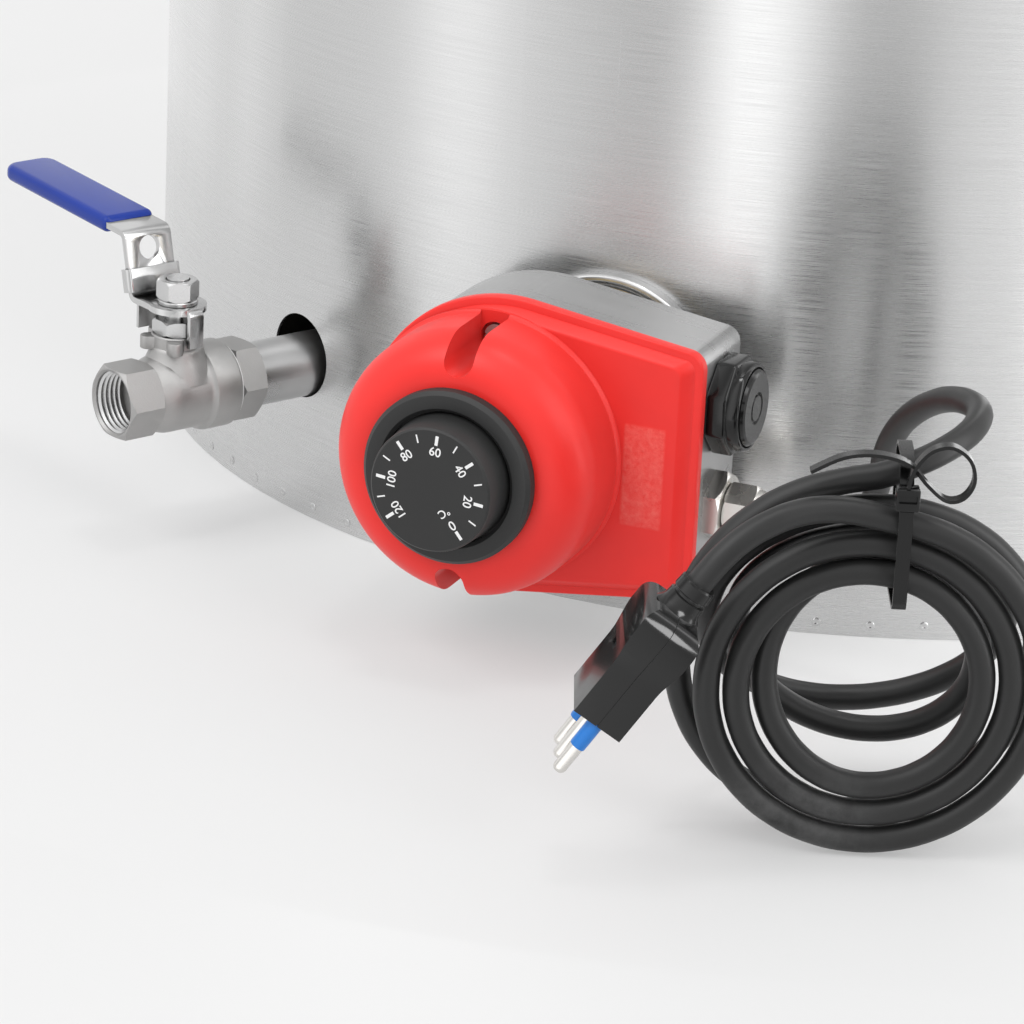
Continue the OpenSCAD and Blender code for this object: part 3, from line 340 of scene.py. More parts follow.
casing_steel = rolled_steel("casing steel", 0.63, 0.27)
vessel_steel = rolled_steel("vessel steel", 0.66, 0.24, 0.5)
shader_of(vessel_steel).inputs["Metallic"].default_value = 0.6
lid_steel = rolled_steel("lid steel", 0.6, 0.24, 0.5)
plain_steel = worn_metal("plain steel", grey(0.6), 0.3)
box_steel = worn_metal("box steel", grey(0.5), 0.28, 420, 0.018, stretched=(0.05, 2.2, 2.2))
# Mineral wool painted near black: painted shade for the dark inside of the casing's hole round the outlet
# pipe
wool = moulded("mineral wool", (0.02, 0.019, 0.016), 0.9, 400, 0.5, spec=0.1)
bright_steel = worn_metal("bright steel", grey(0.66), 0.24, 900, 0.01)
white_ptfe = moulded("white ptfe", grey(0.8), 0.4)

def between(mat, value, low, high, edge=0.0006):
    a = add(mat, "ShaderNodeMapRange", interpolation_type="SMOOTHSTEP")
    b = add(mat, "ShaderNodeMapRange", interpolation_type="SMOOTHSTEP")
    for node, start, end in ((a, low - edge, low + edge), (b, high + edge, high - edge)):
        node.inputs["From Min"].default_value = start
        node.inputs["From Max"].default_value = end
        wire(mat, value, node.inputs["Value"])
    return product(mat, a.outputs["Result"], b.outputs["Result"])

def product(mat, a, b):
    m = add(mat, "ShaderNodeMath", operation="MULTIPLY")
    wire(mat, a, m.inputs[0])
    wire(mat, b, m.inputs[1])
    return m.outputs["Value"]

def blend(mat, share, a, b):
    m = add(mat, "ShaderNodeMix", data_type="RGBA")
    wire(mat, share, m.inputs["Factor"])
    for source, socket in ((a, m.inputs[6]), (b, m.inputs[7])):
        if isinstance(source, tuple):
            socket.default_value = (*source, 1)
        else:
            wire(mat, source, socket)
    return m.outputs[2]

# Painted shade: metal darkened down in the gaps between fitted pieces, where shade falls
def paint_crevice_shade(mat, reach, dark):
    shader = shader_of(mat)
    near = add(mat, "ShaderNodeAmbientOcclusion")
    near.samples = 8
    near.inputs["Distance"].default_value = reach * MM
    plain = shader.inputs["Base Color"].links[0].from_socket
    shade = ramp(mat, near.outputs["AO"], [(0.15, grey(1.0)), (0.75, grey(0.0))])
    wire(mat, blend(mat, shade, plain, grey(dark)), shader.inputs["Base Color"])
    return mat

# Painted reflection: a paler, softer tone stands in for a dark or strong colour where the steel mirrors it
def paint_reflected_tone(mat, tone):
    shader = shader_of(mat)
    path = add(mat, "ShaderNodeLightPath")
    plain = shader.inputs["Base Color"].links[0].from_socket
    wire(mat, blend(mat, path.outputs["Is Glossy Ray"], plain, tone), shader.inputs["Base Color"])
    return mat

# Red moulding with a rough, paler pad on its flat panel
def red_moulding():
    mat = moulded("red cover", (0.86, 0.026, 0.021), 0.38, 1200, 0.012, spec=0.38)
    shader = shader_of(mat)
    split = add(mat, "ShaderNodeSeparateXYZ")
    wire(mat, where(mat), split.inputs["Vector"])
    across = between(mat, split.outputs["X"], 0.0265, 0.0395)
    pad = product(mat, across, between(mat, split.outputs["Z"], 0.0478, 0.08))
    pad = product(mat, pad, between(mat, split.outputs["Y"], -0.299, -0.2972, 0.0002))
    speckle = noise(mat, where(mat), 420, 5.0, 0.75)
    pad = product(mat, pad, stretch(mat, speckle, 0.1, 1.0))
    plain = shader.inputs["Base Color"].links[0].from_socket
    tone = blend(mat, pad, plain, (0.9, 0.12, 0.1))
    # Painted reflection and painted bounce light: glossy rays see a duller red, and diffuse rays take a
    # greyish pink instead of the full red
    path = add(mat, "ShaderNodeLightPath")
    tone = blend(mat, path.outputs["Is Glossy Ray"], tone, (0.6, 0.16, 0.15))
    wire(mat, blend(mat, path.outputs["Is Diffuse Ray"], tone, (0.5, 0.2, 0.2)), shader.inputs["Base Color"])
    rough = add(mat, "ShaderNodeMath", operation="MULTIPLY_ADD")
    wire(mat, pad, rough.inputs[0])
    rough.inputs[1].default_value = 0.25
    wire(mat, shader.inputs["Roughness"].links[0].from_socket, rough.inputs[2])
    wire(mat, rough.outputs["Value"], shader.inputs["Roughness"])
    relief(mat, pad, 0.12, after=shader.inputs["Normal"].links[0].from_socket)
    return mat

red_cover = red_moulding()
# Cast steel with painted shade in its gaps
cast_steel = paint_crevice_shade(worn_metal("cast steel", (0.43, 0.425, 0.42), 0.48, 1800, 0.05), 5, 0.16)
blue_vinyl = paint_reflected_tone(moulded("blue vinyl", (0.007, 0.034, 0.28), 0.2, 300, 0.008, spec=0.3, coat=0.1),
                         grey(0.4))
dial_plastic = moulded("dial plastic", grey(0.022), 0.45, 1500, 0.012, spec=0.42)
black_plastic = paint_reflected_tone(moulded("black plastic", grey(0.004), 0.15, 900, 0.003, spec=0.36, coat=0.12),
                            grey(0.2))

# Rubber jacket, dusty where the front turns lie on the floor
def dusty_rubber():
    mat = moulded("rubber", grey(0.011), 0.42, 700, 0.018, spec=0.5)
    shader = shader_of(mat)
    split = add(mat, "ShaderNodeSeparateXYZ")
    wire(mat, where(mat, place=in_coil), split.inputs["Vector"])
    low = between(mat, split.outputs["Z"], -0.01, 0.022, 0.01)
    front = product(mat, low, between(mat, split.outputs["X"], -0.05, -0.005, 0.014))
    front = product(mat, front, between(mat, split.outputs["Y"], -0.01, 0.0035, 0.001))
    grains = noise(mat, where(mat, place=in_coil), 140, 6.0, 0.7)
    speckle = ramp(mat, grains, [(0.3, grey(0.0)), (0.8, grey(1.0))])
    dust = product(mat, front, speckle)
    plain = shader.inputs["Base Color"].links[0].from_socket
    wire(mat, blend(mat, dust, plain, grey(0.075)), shader.inputs["Base Color"])
    return mat

rubber = paint_reflected_tone(dusty_rubber(), grey(0.12))
tie_nylon = moulded("tie nylon", grey(0.005), 0.16, 900, 0.003, spec=0.45)
nickel = worn_metal("nickel", (0.72, 0.70, 0.67), 0.26, 900, 0.008)
brass = worn_metal("brass", (0.72, 0.52, 0.22), 0.28)
sheath = worn_metal("element sheath", grey(0.35), 0.45)
copper = worn_metal("copper", (0.7, 0.32, 0.18), 0.3)
phenolic = moulded("phenolic", (0.03, 0.02, 0.015), 0.4)
ceramic = moulded("ceramic", grey(0.75), 0.5)
# Lever steel with painted shade in its gaps
lever_steel = paint_crevice_shade(worn_metal("lever steel", grey(0.62), 0.2, 900, 0.008), 7, 0.12)
weld_steel = worn_metal("weld steel", grey(0.62), 0.2, 900, 0.02)
pin_blue = moulded("pin blue", (0.004, 0.17, 0.58), 0.3, 900, 0.004)
white_ink = moulded("white ink", grey(0.85), 0.5, 2500, 0.004)

finish_of = {
    casing_steel: ["outer_casing"],
    vessel_steel: ["inner_vessel", "base_pan"],
    lid_steel: ["lid", "top_rim"],
    plain_steel: ["side_handles", "handle_rivets", "outlet_pipe", "lid_knob_screw", "heater_socket",
                  "socket_collar", "box_screws", "cover_pillars", "cover_screws", "earth_screw", "thermowell",
                  "gland_locknut"],
    box_steel: ["heater_box"],
    wool: ["insulation_wrap", "insulation_floor"],
    cast_steel: ["valve_body", "valve_cap"],
    bright_steel: ["valve_ball", "valve_stem", "packing_nut", "valve_lever", "lever_lock", "lever_washer",
                   "lever_nut"],
    white_ptfe: ["cap_gasket", "valve_seats", "stem_packing"],
    blue_vinyl: ["lever_sleeve", "pin_sleeves"],
    red_cover: ["heater_cover"],
    dial_plastic: ["dial_bezel", "dial_knob"],
    black_plastic: ["lid_knob", "reset_nut", "reset_button", "plug_body", "plug_collar"],
    rubber: ["cord_lead", "cord_coil", "cord_tail", "heater_gasket", "gland_seal"],
    tie_nylon: ["zip_tie"],
    nickel: ["gland_body", "gland_nut", "plug_pins", "thermostat_shaft"],
    brass: ["heater_plug"],
    sheath: ["heating_elements"],
    copper: ["thermostat_bulb"],
    phenolic: ["thermostat", "safety_thermostat"],
    ceramic: ["terminal_block"],
}
for material, names in finish_of.items():
    for n in names:
        nodes[n].data.materials.clear()
        nodes[n].data.materials.append(material)

# Mains lead: out of the gland, up behind the coil, round the coil and out to the plug
cord_d = 7.6
turn_r, turn_step = 30, 8.3
rear_turns, front_from = 3, 3.5
coil_start, coil_end = 0.03, 5.97
coil_middle, rear_y = -6, 8.4
rear_z, front_z = 54.4, 50.9
rear_fan = 34

def coil_point(s):
    if s < rear_turns:
        rho = turn_r + turn_step * (rear_turns - s)
    elif s < front_from:
        rho = turn_r - 1.6 * math.sin(2 * math.pi * (s - rear_turns))
    else:
        rho = turn_r + turn_step * (s - front_from)
    t = max(0.0, min(1.0, (s - rear_turns) / (front_from - rear_turns)))
    g = t * t * (3 - 2 * t)
    tilt = math.radians(rear_fan) * math.sin(math.pi * s / front_from) ** 2 if s < front_from else 0
    drop = rho * (1 - math.cos(2 * math.pi * s))
    lean = 3 * max(0.0, (s - coil_end) / 0.4 + 1) ** 2
    return Vector((coil_middle - rho * math.sin(2 * math.pi * s),
                   (1 - g) * rear_y + drop * math.sin(tilt) - lean,
                   rear_z + (front_z - rear_z) * g + rho - drop * math.cos(tilt)))

def coil_head(s):
    return (coil_point(s + 0.002) - coil_point(s - 0.002)).normalized()

def cord_route():
    tank_side = [(67, -275, 50.5), (75, -275, 50.5), (84, -275.4, 51.3), (92.5, -277.2, 54.5),
                 (100, -281.3, 61.8), (105, -288, 73), (108.5, -296, 84.5), (114, -304.5, 95.5),
                 (121, -312.5, 104.5), (129, -320.5, 111.5), (137, -329, 116.5), (144.5, -337.5, 119.3),
                 (149.8, -345.5, 120.2), (152.2, -354, 120), (152, -362.8, 118.8), (149, -371, 116.8),
                 (143.5, -378, 114)]
    route = [Vector(p) * MM for p in tank_side]
    spots = [coil_start + (coil_end - coil_start) * i / 150 for i in range(151)]
    start = coil_point(coil_start) - cord_d * coil_head(coil_start)
    coil = [start - 3 * coil_head(coil_start), start] + [coil_point(s) for s in spots]
    end = coil_point(coil_end) + cord_d * coil_head(coil_end)
    coil += [end, end + 3 * coil_head(coil_end)]
    plug_axis = Vector((math.sin(math.radians(plug_tilt)), 0, math.cos(math.radians(plug_tilt))))
    plug_end = Vector(plug_spot)
    tail = [Vector(p) for p in ((-14.5, -4.5, 104.3), (-22, -6.5, 105), (-29.5, -9.5, 104.5),
                                (-36.5, -12.8, 102.6), (-43, -15.4, 99.2), (-48.5, -17, 94.5))]
    tail += [plug_end - 3 * plug_axis, plug_end]
    return route + [in_coil @ (p * MM) for p in coil + tail]

def mains_lead():
    points = cord_route()
    data = bpy.data.curves.new("mains_lead", "CURVE")
    data.dimensions = "3D"
    line = data.splines.new("BEZIER")
    line.bezier_points.add(len(points) - 1)
    for bp, p in zip(line.bezier_points, points):
        bp.co = p
        bp.handle_left_type = bp.handle_right_type = "AUTO"
    line.resolution_u = 5
    data.bevel_depth = cord_d / 2 * MM
    data.bevel_resolution = 6
    data.use_fill_caps = True
    obj = bpy.data.objects.new("mains_lead", data)
    bpy.context.scene.collection.objects.link(obj)
    obj.data.materials.append(rubber)
    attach(obj, "tank")
    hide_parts("cord_lead", "cord_coil", "cord_tail")
    length = sum((b - a).length for a, b in zip(points, points[1:]))
    return obj, points[0], length

lead, lead_start, lead_length = mains_lead()

# Cover of the heater: flange, raised panel and dome, with a channel to each screw
lobe_x, lobe_z, lobe_r = -13.5, 65, 46.5
corner_x, corner_z, corner_r = 43.5, 34, 5
flange_back, flange_front, panel_front = 291, 295.2, 298
dome_r, dome_front, dome_round = 42.5, 327.5, 14
cover_wall = 2.5
channel_out, channel_r = 35.5, 4.75
shaft_hole_r = 4.9
past_front = 340

def box_outline(grow):
    r0, r1 = lobe_r + grow, corner_r + grow
    span = corner_x - lobe_x
    lean = math.degrees(math.atan2(corner_z, span) + math.acos((r0 - r1) / math.hypot(span, corner_z)))
    return (arc(lobe_x, lobe_z, r0, lean, 360 - lean, 96) + arc(corner_x, lobe_z - corner_z, r1, -lean, 0, 10)
            + arc(corner_x, lobe_z + corner_z, r1, 0, lean, 10))

def channel_cutter(side, wide, low, high):
    ends = arc(0, 0, wide, 180, 360, 20) if side > 0 else arc(0, 0, wide, 0, 180, 20)
    ends += [(wide, 12), (-wide, 12)] if side > 0 else [(-wide, -12), (wide, -12)]
    return prism("channel", ends, low, high, in_dial @ shift(0, side * channel_out, 0))

def dome_line(inset):
    top = dome_front - inset
    bend = dome_round - inset
    return arc(dome_r - inset - bend, top - bend, bend, 0, 90, 12)

def make_cover():
    cover = soften(prism("cover", box_outline(1.1), flange_back, flange_front, in_heater), 0.9)
    panel = tapered("panel", box_outline(-1.3), 295, panel_front, (lobe_x, lobe_z), 0.935, in_heater)
    soften(panel, 0.5, 2, 20)
    foot = [(0, 296), (43.6, 296), (43.6, 298.3), (43.1, 298.7), (42.6, 299.6)]
    dome = lathe("dome", foot + dome_line(0) + [(0, dome_front)], in_dial, 120)
    combine(cover, panel, "UNION")
    combine(cover, dome, "UNION")
    hollow = prism("hollow", box_outline(-cover_wall), flange_back - 1, panel_front - cover_wall, in_heater)
    dome_hollow = [(0, 294), (40, 294)] + dome_line(cover_wall) + [(0, dome_front - cover_wall)]
    combine(hollow, lathe("inside", dome_hollow, in_dial, 96), "UNION")
    for side in (1, -1):
        combine(hollow, channel_cutter(side, channel_r + 1.6, 280, past_front))
    combine(cover, hollow)
    for side in (1, -1):
        at_screw = in_dial @ shift(0, side * channel_out, 0)
        combine(cover, channel_cutter(side, channel_r, panel_front, past_front))
        drill(cover, 4.6, 295, panel_front + 0.5, at_screw)
        drill(cover, 2.1, 288, 299, at_screw, 24)
    drill(cover, shaft_hole_r, 310, past_front, in_dial)
    return piece(cover, red_cover, "tank", "heater_cover", slot="red_cover", angle=28)

# Dial and its ring
ring_back, dial_back, dial_face = 327.55, 330, 344
shaft_r = 3.02
scale_start, scale_step = -51, 22.5

def make_dial():
    ring = lathe("dial_ring", [(shaft_hole_r, ring_back), (27.2, ring_back), (27.4, 327.8), (27.4, 331.1),
                               (26.2, 332.4), (25.9, 332.5), (22.1, 332.5), (21.0, 331.6), (21, 329),
                               (shaft_hole_r, 329), (shaft_hole_r, ring_back)], in_dial, 96)
    piece(ring, dial_plastic, "tank", "dial_bezel", slot="dial_plastic", angle=25)
    roof = dial_face - 2.5
    knob = lathe("dial", [(shaft_r, dial_back), (6.5, dial_back), (6.5, roof), (17.4, roof),
                          (18.6, dial_back), (20.4, dial_back), (20.2, 332), (19.62, 342.9), (19.45, 343.4),
                          (18.9, 343.95), (18.6, dial_face), (0, dial_face), (0, roof), (shaft_r, roof),
                          (shaft_r, dial_back)], in_dial, 96)
    piece(knob, dial_plastic, "dial", "dial_knob", slot="dial_plastic", angle=25)

def dial_mark(angle, length, wide):
    outer, half = 17.6, wide / 2
    inner = outer - length
    return prism("mark", [(inner, -half), (outer, -half), (outer, half), (inner, half)],
                 dial_face - 0.02, dial_face + 0.06, in_dial @ turn(angle, "Z"))

def dial_word(text, angle, reach, size):
    bpy.ops.object.select_all(action="DESELECT")
    bpy.ops.object.text_add()
    word = bpy.context.object
    word.data.body = text
    word.data.align_x = "CENTER"
    word.data.align_y = "CENTER"
    word.data.size = size * MM
    word.data.extrude = 0.04 * MM
    word.data.offset = 0.035 * MM
    word.data.resolution_u = 4
    bpy.ops.object.convert(target="MESH")
    at = in_dial @ turn(angle, "Z") @ shift(reach, 0, dial_face + 0.02) @ turn(-90, "Z")
    return set_down(bpy.context.object, at)

def make_dial_marks():
    marks = []
    for k in range(13):
        angle = scale_start + scale_step * k
        marks.append(dial_mark(angle, 3.0, 1.0) if k % 2 == 0 else dial_mark(angle, 2.6, 0.45))
        if k % 2 == 0:
            marks.append(dial_word(str(10 * k), angle, 12.4, 3.9 if k else 4.2))
    marks.append(dial_word("°C", scale_start, 7.9, 3.6))
    return piece(join("dial_marks", marks), white_ink, "dial", slot="dial_plastic")

# Nut and button of the cut-out
def make_reset():
    nut = soften(prism("reset_ring", nut_outline(29.5, 22.5, 8), 48.5, 55.5, in_reset), 1.1, 3)
    collar = lathe("collar", [(0, 53), (14, 53), (14, 57.9), (13.6, 58.7), (13.2, 59), (0, 59)], in_reset, 64)
    combine(nut, collar, "UNION")
    combine(nut, lathe("bore", [(0, 48), (8.05, 48), (8.05, 55.5), (12.4, 55.5), (12.4, 58.4), (12.8, 59.5),
                                (0, 59.5)], in_reset, 64))
    piece(nut, black_plastic, "tank", "reset_nut", slot="black_plastic")
    button = lathe("reset_cap", [(0, 38.5), (5, 38.5), (5, 57.5), (11.6, 57.5), (12, 57.9), (12, 59.2),
                                 (11.4, 60), (10.6, 60.4), (5.1, 60.4), (4.8, 59.7), (4.2, 59.7), (3.9, 60.4),
                                 (0, 60.5)], in_reset, 64)
    piece(button, black_plastic, "reset", "reset_button", slot="black_plastic", angle=25)

# Hexagon with turned ends
def hex_nut(name, flats, low, high, place, first=0, both=True, cut=0.9):
    nut = prism(name, nut_outline(flats, first), low, high, place)
    inner, outer = flats / 2 + 0.1, flats / 2 * 1.16
    ends = [(0, low), (inner, low), (outer, low + cut)] if both else [(0, low), (outer, low)]
    turned = lathe("turned", ends + [(outer, high - cut), (inner, high), (0, high)], place, 64)
    combine(nut, turned, "INTERSECT")
    return nut

# Cable gland on the side of the box
box_side = 48.5
base_flats, cap_nut_flats = 20, 15
gland_bore_r = 4.7

def make_gland():
    body = hex_nut("gland_base", base_flats, box_side, box_side + 5, in_gland, both=False, cut=1.2)
    spigot = lathe("spigot", [(0, 41), (7.4, 41), (7.4, 49), (6, 49), (6, 60.5), (0, 60.5)], in_gland, 48)
    combine(body, spigot, "UNION")
    drill(body, gland_bore_r, 30, 70, in_gland, 48)
    piece(body, nickel, "tank", "gland_body", slot="nickel")
    nut = hex_nut("gland_cap", cap_nut_flats, 53.8, 63, in_gland, cut=0.8)
    cone = lathe("cone", [(0, 62), (7.3, 62), (7.3, 63), (7.1, 63.8), (6.0, 66.6), (5.5, 67), (0, 67)],
                 in_gland, 48)
    combine(nut, cone, "UNION")
    combine(nut, lathe("bore", [(0, 50), (6.05, 50), (6.05, 60.8), (gland_bore_r, 60.8), (gland_bore_r, 68),
                                (0, 68)], in_gland, 48))
    piece(nut, nickel, "tank", "gland_nut", slot="nickel")

# Outlet valve
body_flats, end_flats = 22.5, 24
body_end, cap_end = -25, 28
bore_r, cavity_r = 6, 10.2
stem_r, stem_screw_r = 4.05, 3.65

def make_valve_body():
    body = hex_nut("valve_casting", body_flats, body_end, -12, in_bore, cut=1.2)
    barrel = lathe("barrel", [(0, -14), (10.4, -14), (11, -12.6), (11.7, -11), (12.5, -9), (12.9, -7.4),
                              (13, -6), (13, 5.2), (13.2, 6), (13.8, 6.8), (14.3, 7.2), (14.5, 7.8),
                              (14.5, 16.2), (14.2, 16.8), (13.7, 17), (0, 17)], in_bore, 72)
    combine(body, barrel, "UNION")
    boss = lathe("boss", [(0, 5), (12.4, 5), (11.3, 8.5), (10, 11.4), (9.2, 13.2), (8.9, 14.6), (8.7, 15.3),
                          (8.3, 15.8), (8.3, 19.4), (7.9, 19.8), (0, 19.8)], in_valve, 64)
    combine(body, boss, "UNION")
    for angle in (-38, 128, 190, 245):
        ear = [(7, -3)] + arc(9.4, 0, 2.6, -90, 90, 8) + [(7, 3)]
        lug = prism("lug", ear, 14.9, 19.3, in_valve @ turn(angle, "Z"))
        combine(body, soften(lug, 0.4, 2), "UNION")
    combine(body, lathe("bore", [(0, -26), (11, -26), (10.9, -25.05), (10.15, -24.2), (10.15, -14),
                                 (bore_r, -12.4), (bore_r, -11), (cavity_r, -11), (cavity_r, 11), (10.6, 11),
                                 (10.6, 18), (0, 18)], in_bore, 64))
    combine(body, lathe("stem bore", [(0, 5), (stem_r, 5), (stem_r, 13), (6.4, 13), (6.4, 21), (0, 21)],
                        in_valve, 48))
    piece(body, cast_steel, "tank", "valve_body", slot="cast_steel", angle=24)
    thread = draw_line("valve_thread", [(10.3, 0, -24.4), (9.4, 0, -23.7), (9.4, 0, -23.5), (10.3, 0, -22.8)])
    bpy.ops.mesh.select_all(action="SELECT")
    bpy.ops.mesh.edge_face_add()
    bpy.ops.object.mode_set(mode="OBJECT")
    turns = thread.modifiers.new("turns", "SCREW")
    turns.axis = "Z"
    turns.screw_offset = 1.81 * MM
    turns.iterations = 5
    turns.steps = turns.render_steps = 48
    apply_all(thread)
    set_down(thread, in_bore)
    piece(thread, bright_steel, "tank", slot="cast_steel", angle=40)

def make_valve_cap():
    cap = hex_nut("valve_end", end_flats, 17.8, cap_end, in_bore, cut=1.1)
    combine(cap, rod("spigot", 10.5, 11, 18.4, in_bore, 64), "UNION")
    combine(cap, lathe("bore", [(0, 10), (bore_r, 10), (bore_r, 19), (10.7, 19), (10.7, cap_end - 0.6),
                                (11.2, cap_end + 0.1), (0, cap_end + 0.1)], in_bore, 64))
    piece(cap, cast_steel, "tank", "valve_cap", slot="cast_steel", angle=24)

# Side line of a bent strip: straight runs joined by round bends
def bent_strip(points, bend, half):
    runs = [Vector(p) for p in points]
    line = [runs[0]]
    for before, corner, after in zip(runs, runs[1:], runs[2:]):
        a, b = (before - corner).normalized(), (after - corner).normalized()
        reach = bend / math.tan(a.angle(b) / 2)
        for i in range(9):
            t = i / 8
            line.append(corner + reach * ((1 - t) ** 2 * a + t ** 2 * b))
    line.append(runs[-1])
    heads = [(q - p).normalized() for p, q in zip(line, line[1:])]
    heads = [heads[0]] + [(a + b).normalized() for a, b in zip(heads, heads[1:])] + [heads[-1]]
    sides = [Vector((-h.y, h.x)) for h in heads]
    return ([tuple(p + half * n) for p, n in zip(line, sides)]
            + [tuple(p - half * n) for p, n in reversed(list(zip(line, sides)))])

arm_half = 8.9
plate_low, plate_top, washer_top, nut_top = 27.8, 29.8, 31.3, 37.8

def make_lever():
    reach, lean = 66, math.radians(grip_lean)
    grip_end = (grip_spot[0] - reach * math.cos(lean), grip_spot[2] + reach * math.sin(lean))
    side = bent_strip([(0, neck_spot[2]), neck_spot[::2], grip_spot[::2], grip_end], 2.6, 1)
    lever = prism("lever_arm", side, -arm_half, arm_half, in_flat)
    plate = prism("plate", arc(0, 0, 9.5, 0, 360, 63)[:-1], plate_low, plate_top, in_valve)
    combine(lever, plate, "UNION")
    bend = bent_strip([(5, neck_spot[2]), (10.2, neck_spot[2]), (10.2, 17.3)], 1.6, 0.9)
    finger = prism("finger", bend, -2.6, 2.6, in_flat)
    combine(lever, finger, "UNION")
    drill(lever, stem_screw_r, 20, 36, in_valve)
    drill(lever, 3.9, -6, 6, in_neck @ shift(15.6, 0, 0), 48)
    soften(lever, 0.3, 2)
    piece(lever, lever_steel, "lever", "valve_lever", slot="lever_steel", angle=28)

def make_sleeve():
    outline = [(9, -9.6)] + arc(66, -4.6, 5, -90, 0, 10) + arc(66, 4.6, 5, 0, 90, 10) + [(9, 9.6)]
    sleeve = soften(prism("grip_sleeve", outline, -2.8, 2.8, in_grip), 2.2, 6, 40)
    wide = arm_half + 0.05
    slot = prism("slot", [(5, -wide), (66.1, -wide), (66.1, wide), (5, wide)], -1.05, 1.05, in_grip)
    combine(sleeve, slot)
    piece(sleeve, blue_vinyl, "lever", "lever_sleeve", slot="blue_vinyl", angle=35)

def rounded_box(a, b, r):
    return (arc(a - r, b - r, r, 0, 90, 6) + arc(r - a, b - r, r, 90, 180, 6)
            + arc(r - a, r - b, r, 180, 270, 6) + arc(a - r, r - b, r, 270, 360, 6))

def make_lock():
    across = in_neck @ turn(90, "Y")
    lock = prism("lock_clip", rounded_box(2.5, 10.4, 1.7), 2, 9.6, across)
    combine(lock, prism("inside", rounded_box(1.3, 9.2, 0.5), 1, 11, across))
    tongue = prism("tongue", bent_strip([(-16.9, 33.6), (-16.6, 31), (-16.6, 17.3)], 2, 0.6), -4, 4, in_flat)
    combine(lock, tongue, "UNION")
    soften(lock, 0.25, 2)
    piece(lock, lever_steel, "lock", "lever_lock", slot="lever_steel", angle=28)

def make_lever_nuts():
    nut = hex_nut("arm_nut", 12, washer_top, nut_top, in_valve)
    combine(nut, lathe("bore", [(0, 30), (stem_screw_r, 30), (stem_screw_r, nut_top - 0.8),
                                (4.1, nut_top + 0.1), (0, nut_top + 0.1)], in_valve, 40))
    piece(nut, lever_steel, "lever", "lever_nut", slot="lever_steel")
    packing = hex_nut("stem_nut", 14, 19.8, 24.8, in_valve)
    combine(packing, rod("foot", 6.35, 18.3, 20.4, in_valve), "UNION")
    drill(packing, stem_r, 18, 26, in_valve)
    piece(packing, lever_steel, "tank", "packing_nut", slot="lever_steel")
    washer = lathe("arm_washer", [(stem_screw_r, plate_top), (6.4, plate_top), (6.6, 30), (6.6, 31),
                                  (6.3, washer_top), (stem_screw_r, washer_top), (stem_screw_r, plate_top)],
                   in_valve, 48)
    piece(washer, lever_steel, "lever", "lever_washer", slot="lever_steel")

# Plug: two moulded halves with a seam, thicker at the cord's end, stepped collar, pins and their blue sleeves
plug_swell = 1.2

def plug_outline(half, round_r, round_z, end):
    wall = [(half + plug_swell * (1 + math.cos(math.pi * i / 8)) / 2, 18 + 1.5 * i) for i in range(9)]
    right = arc(half + plug_swell - round_r, round_z, round_r, -90, 0, 12) + wall + [(half, end)]
    return right + [(-x, z) for x, z in reversed(right)]

def make_plug():
    half_wide, half_thin, front, groove = 12.7, 7.75, 46.5, 0.4
    flat_wide = in_plug @ Matrix(((0, 0, 1, 0), (1, 0, 0, 0), (0, 1, 0, 0), (0, 0, 0, 1)))
    flat_thin = in_plug @ turn(90, "X") @ Matrix.Scale(-1, 4, (0, 0, 1))
    block = prism("plug_block", plug_outline(half_wide, 7, 16.3, front), -9.5, 9.5, flat_wide)
    thin = plug_outline(half_thin, 5, 14.2, front + 0.5)
    combine(block, prism("thin", thin, -20, 20, flat_thin), "INTERSECT")
    soften(block, 1.7, 5, 35)
    seam = prism("seam", [(-20, 5), (20, 5), (20, 50), (-20, 50)], -0.2, 0.2, flat_wide)
    core = plug_outline(half_wide - groove, 7 - groove, 16.3, front - groove)
    combine(seam, prism("core", core, -1, 1, flat_wide))
    combine(block, seam)
    for side in (-1, 1):
        face = side * half_thin
        slot = prism("slot", rounded_box(3.2, 0.9, 0.5), face - 0.8, face + 0.8, flat_wide @ shift(0, 28, 0))
        combine(block, slot)
    parts = [piece(block, black_plastic, "tank", "plug_body", slot="black_plastic", angle=30)]
    collar = lathe("plug_neck", [(0, 0), (4.9, 0), (5.3, 0.5), (5.5, 3.6), (5.3, 4), (5.0, 4.2), (5.0, 4.8),
                                 (5.6, 5.2), (5.8, 7.4), (6.2, 8.6), (7.2, 9.8), (0, 9.8)], in_plug, 48)
    parts.append(piece(collar, black_plastic, "tank", "plug_collar", slot="black_plastic", angle=30))
    pins, sleeves = [], []
    for y in (-9.5, 0, 9.5):
        at = in_plug @ shift(0, y, 46.3)
        rod = [(0, 0), (2, 0), (2, 16.7), (1.8, 17.4), (1.3, 18), (0.6, 18.15), (0, 18.2)]
        pins.append(lathe("pin", rod, at, 28))
        if y:
            tube = [(2.05, 0), (2.35, 0), (2.35, 8.6), (2.2, 9), (2.05, 9), (2.05, 0)]
            sleeves.append(lathe("sleeve", tube, at, 28))
    parts.append(piece(join("plug_prongs", pins), nickel, "tank", "plug_pins", slot="nickel"))
    parts.append(piece(join("prong_sleeves", sleeves), pin_blue, "tank", "pin_sleeves", slot="blue_vinyl"))
    return parts

# Zip tie: strap round both layers of the coil, head in front and the long loose end in a loop
def smooth_line(points, steps):
    spots = [Vector(p) for p in points]
    line = []
    for i in range(len(spots) - 1):
        p0, p1, p2, p3 = (spots[max(0, min(len(spots) - 1, i + k))] for k in (-1, 0, 1, 2))
        for j in range(steps):
            t = j / steps
            line.append(0.5 * (2 * p1 + (p2 - p0) * t + (2 * p0 - 5 * p1 + 4 * p2 - p3) * t * t
                               + (3 * p1 - p0 - 3 * p2 + p3) * t ** 3))
    return line + [spots[-1]]

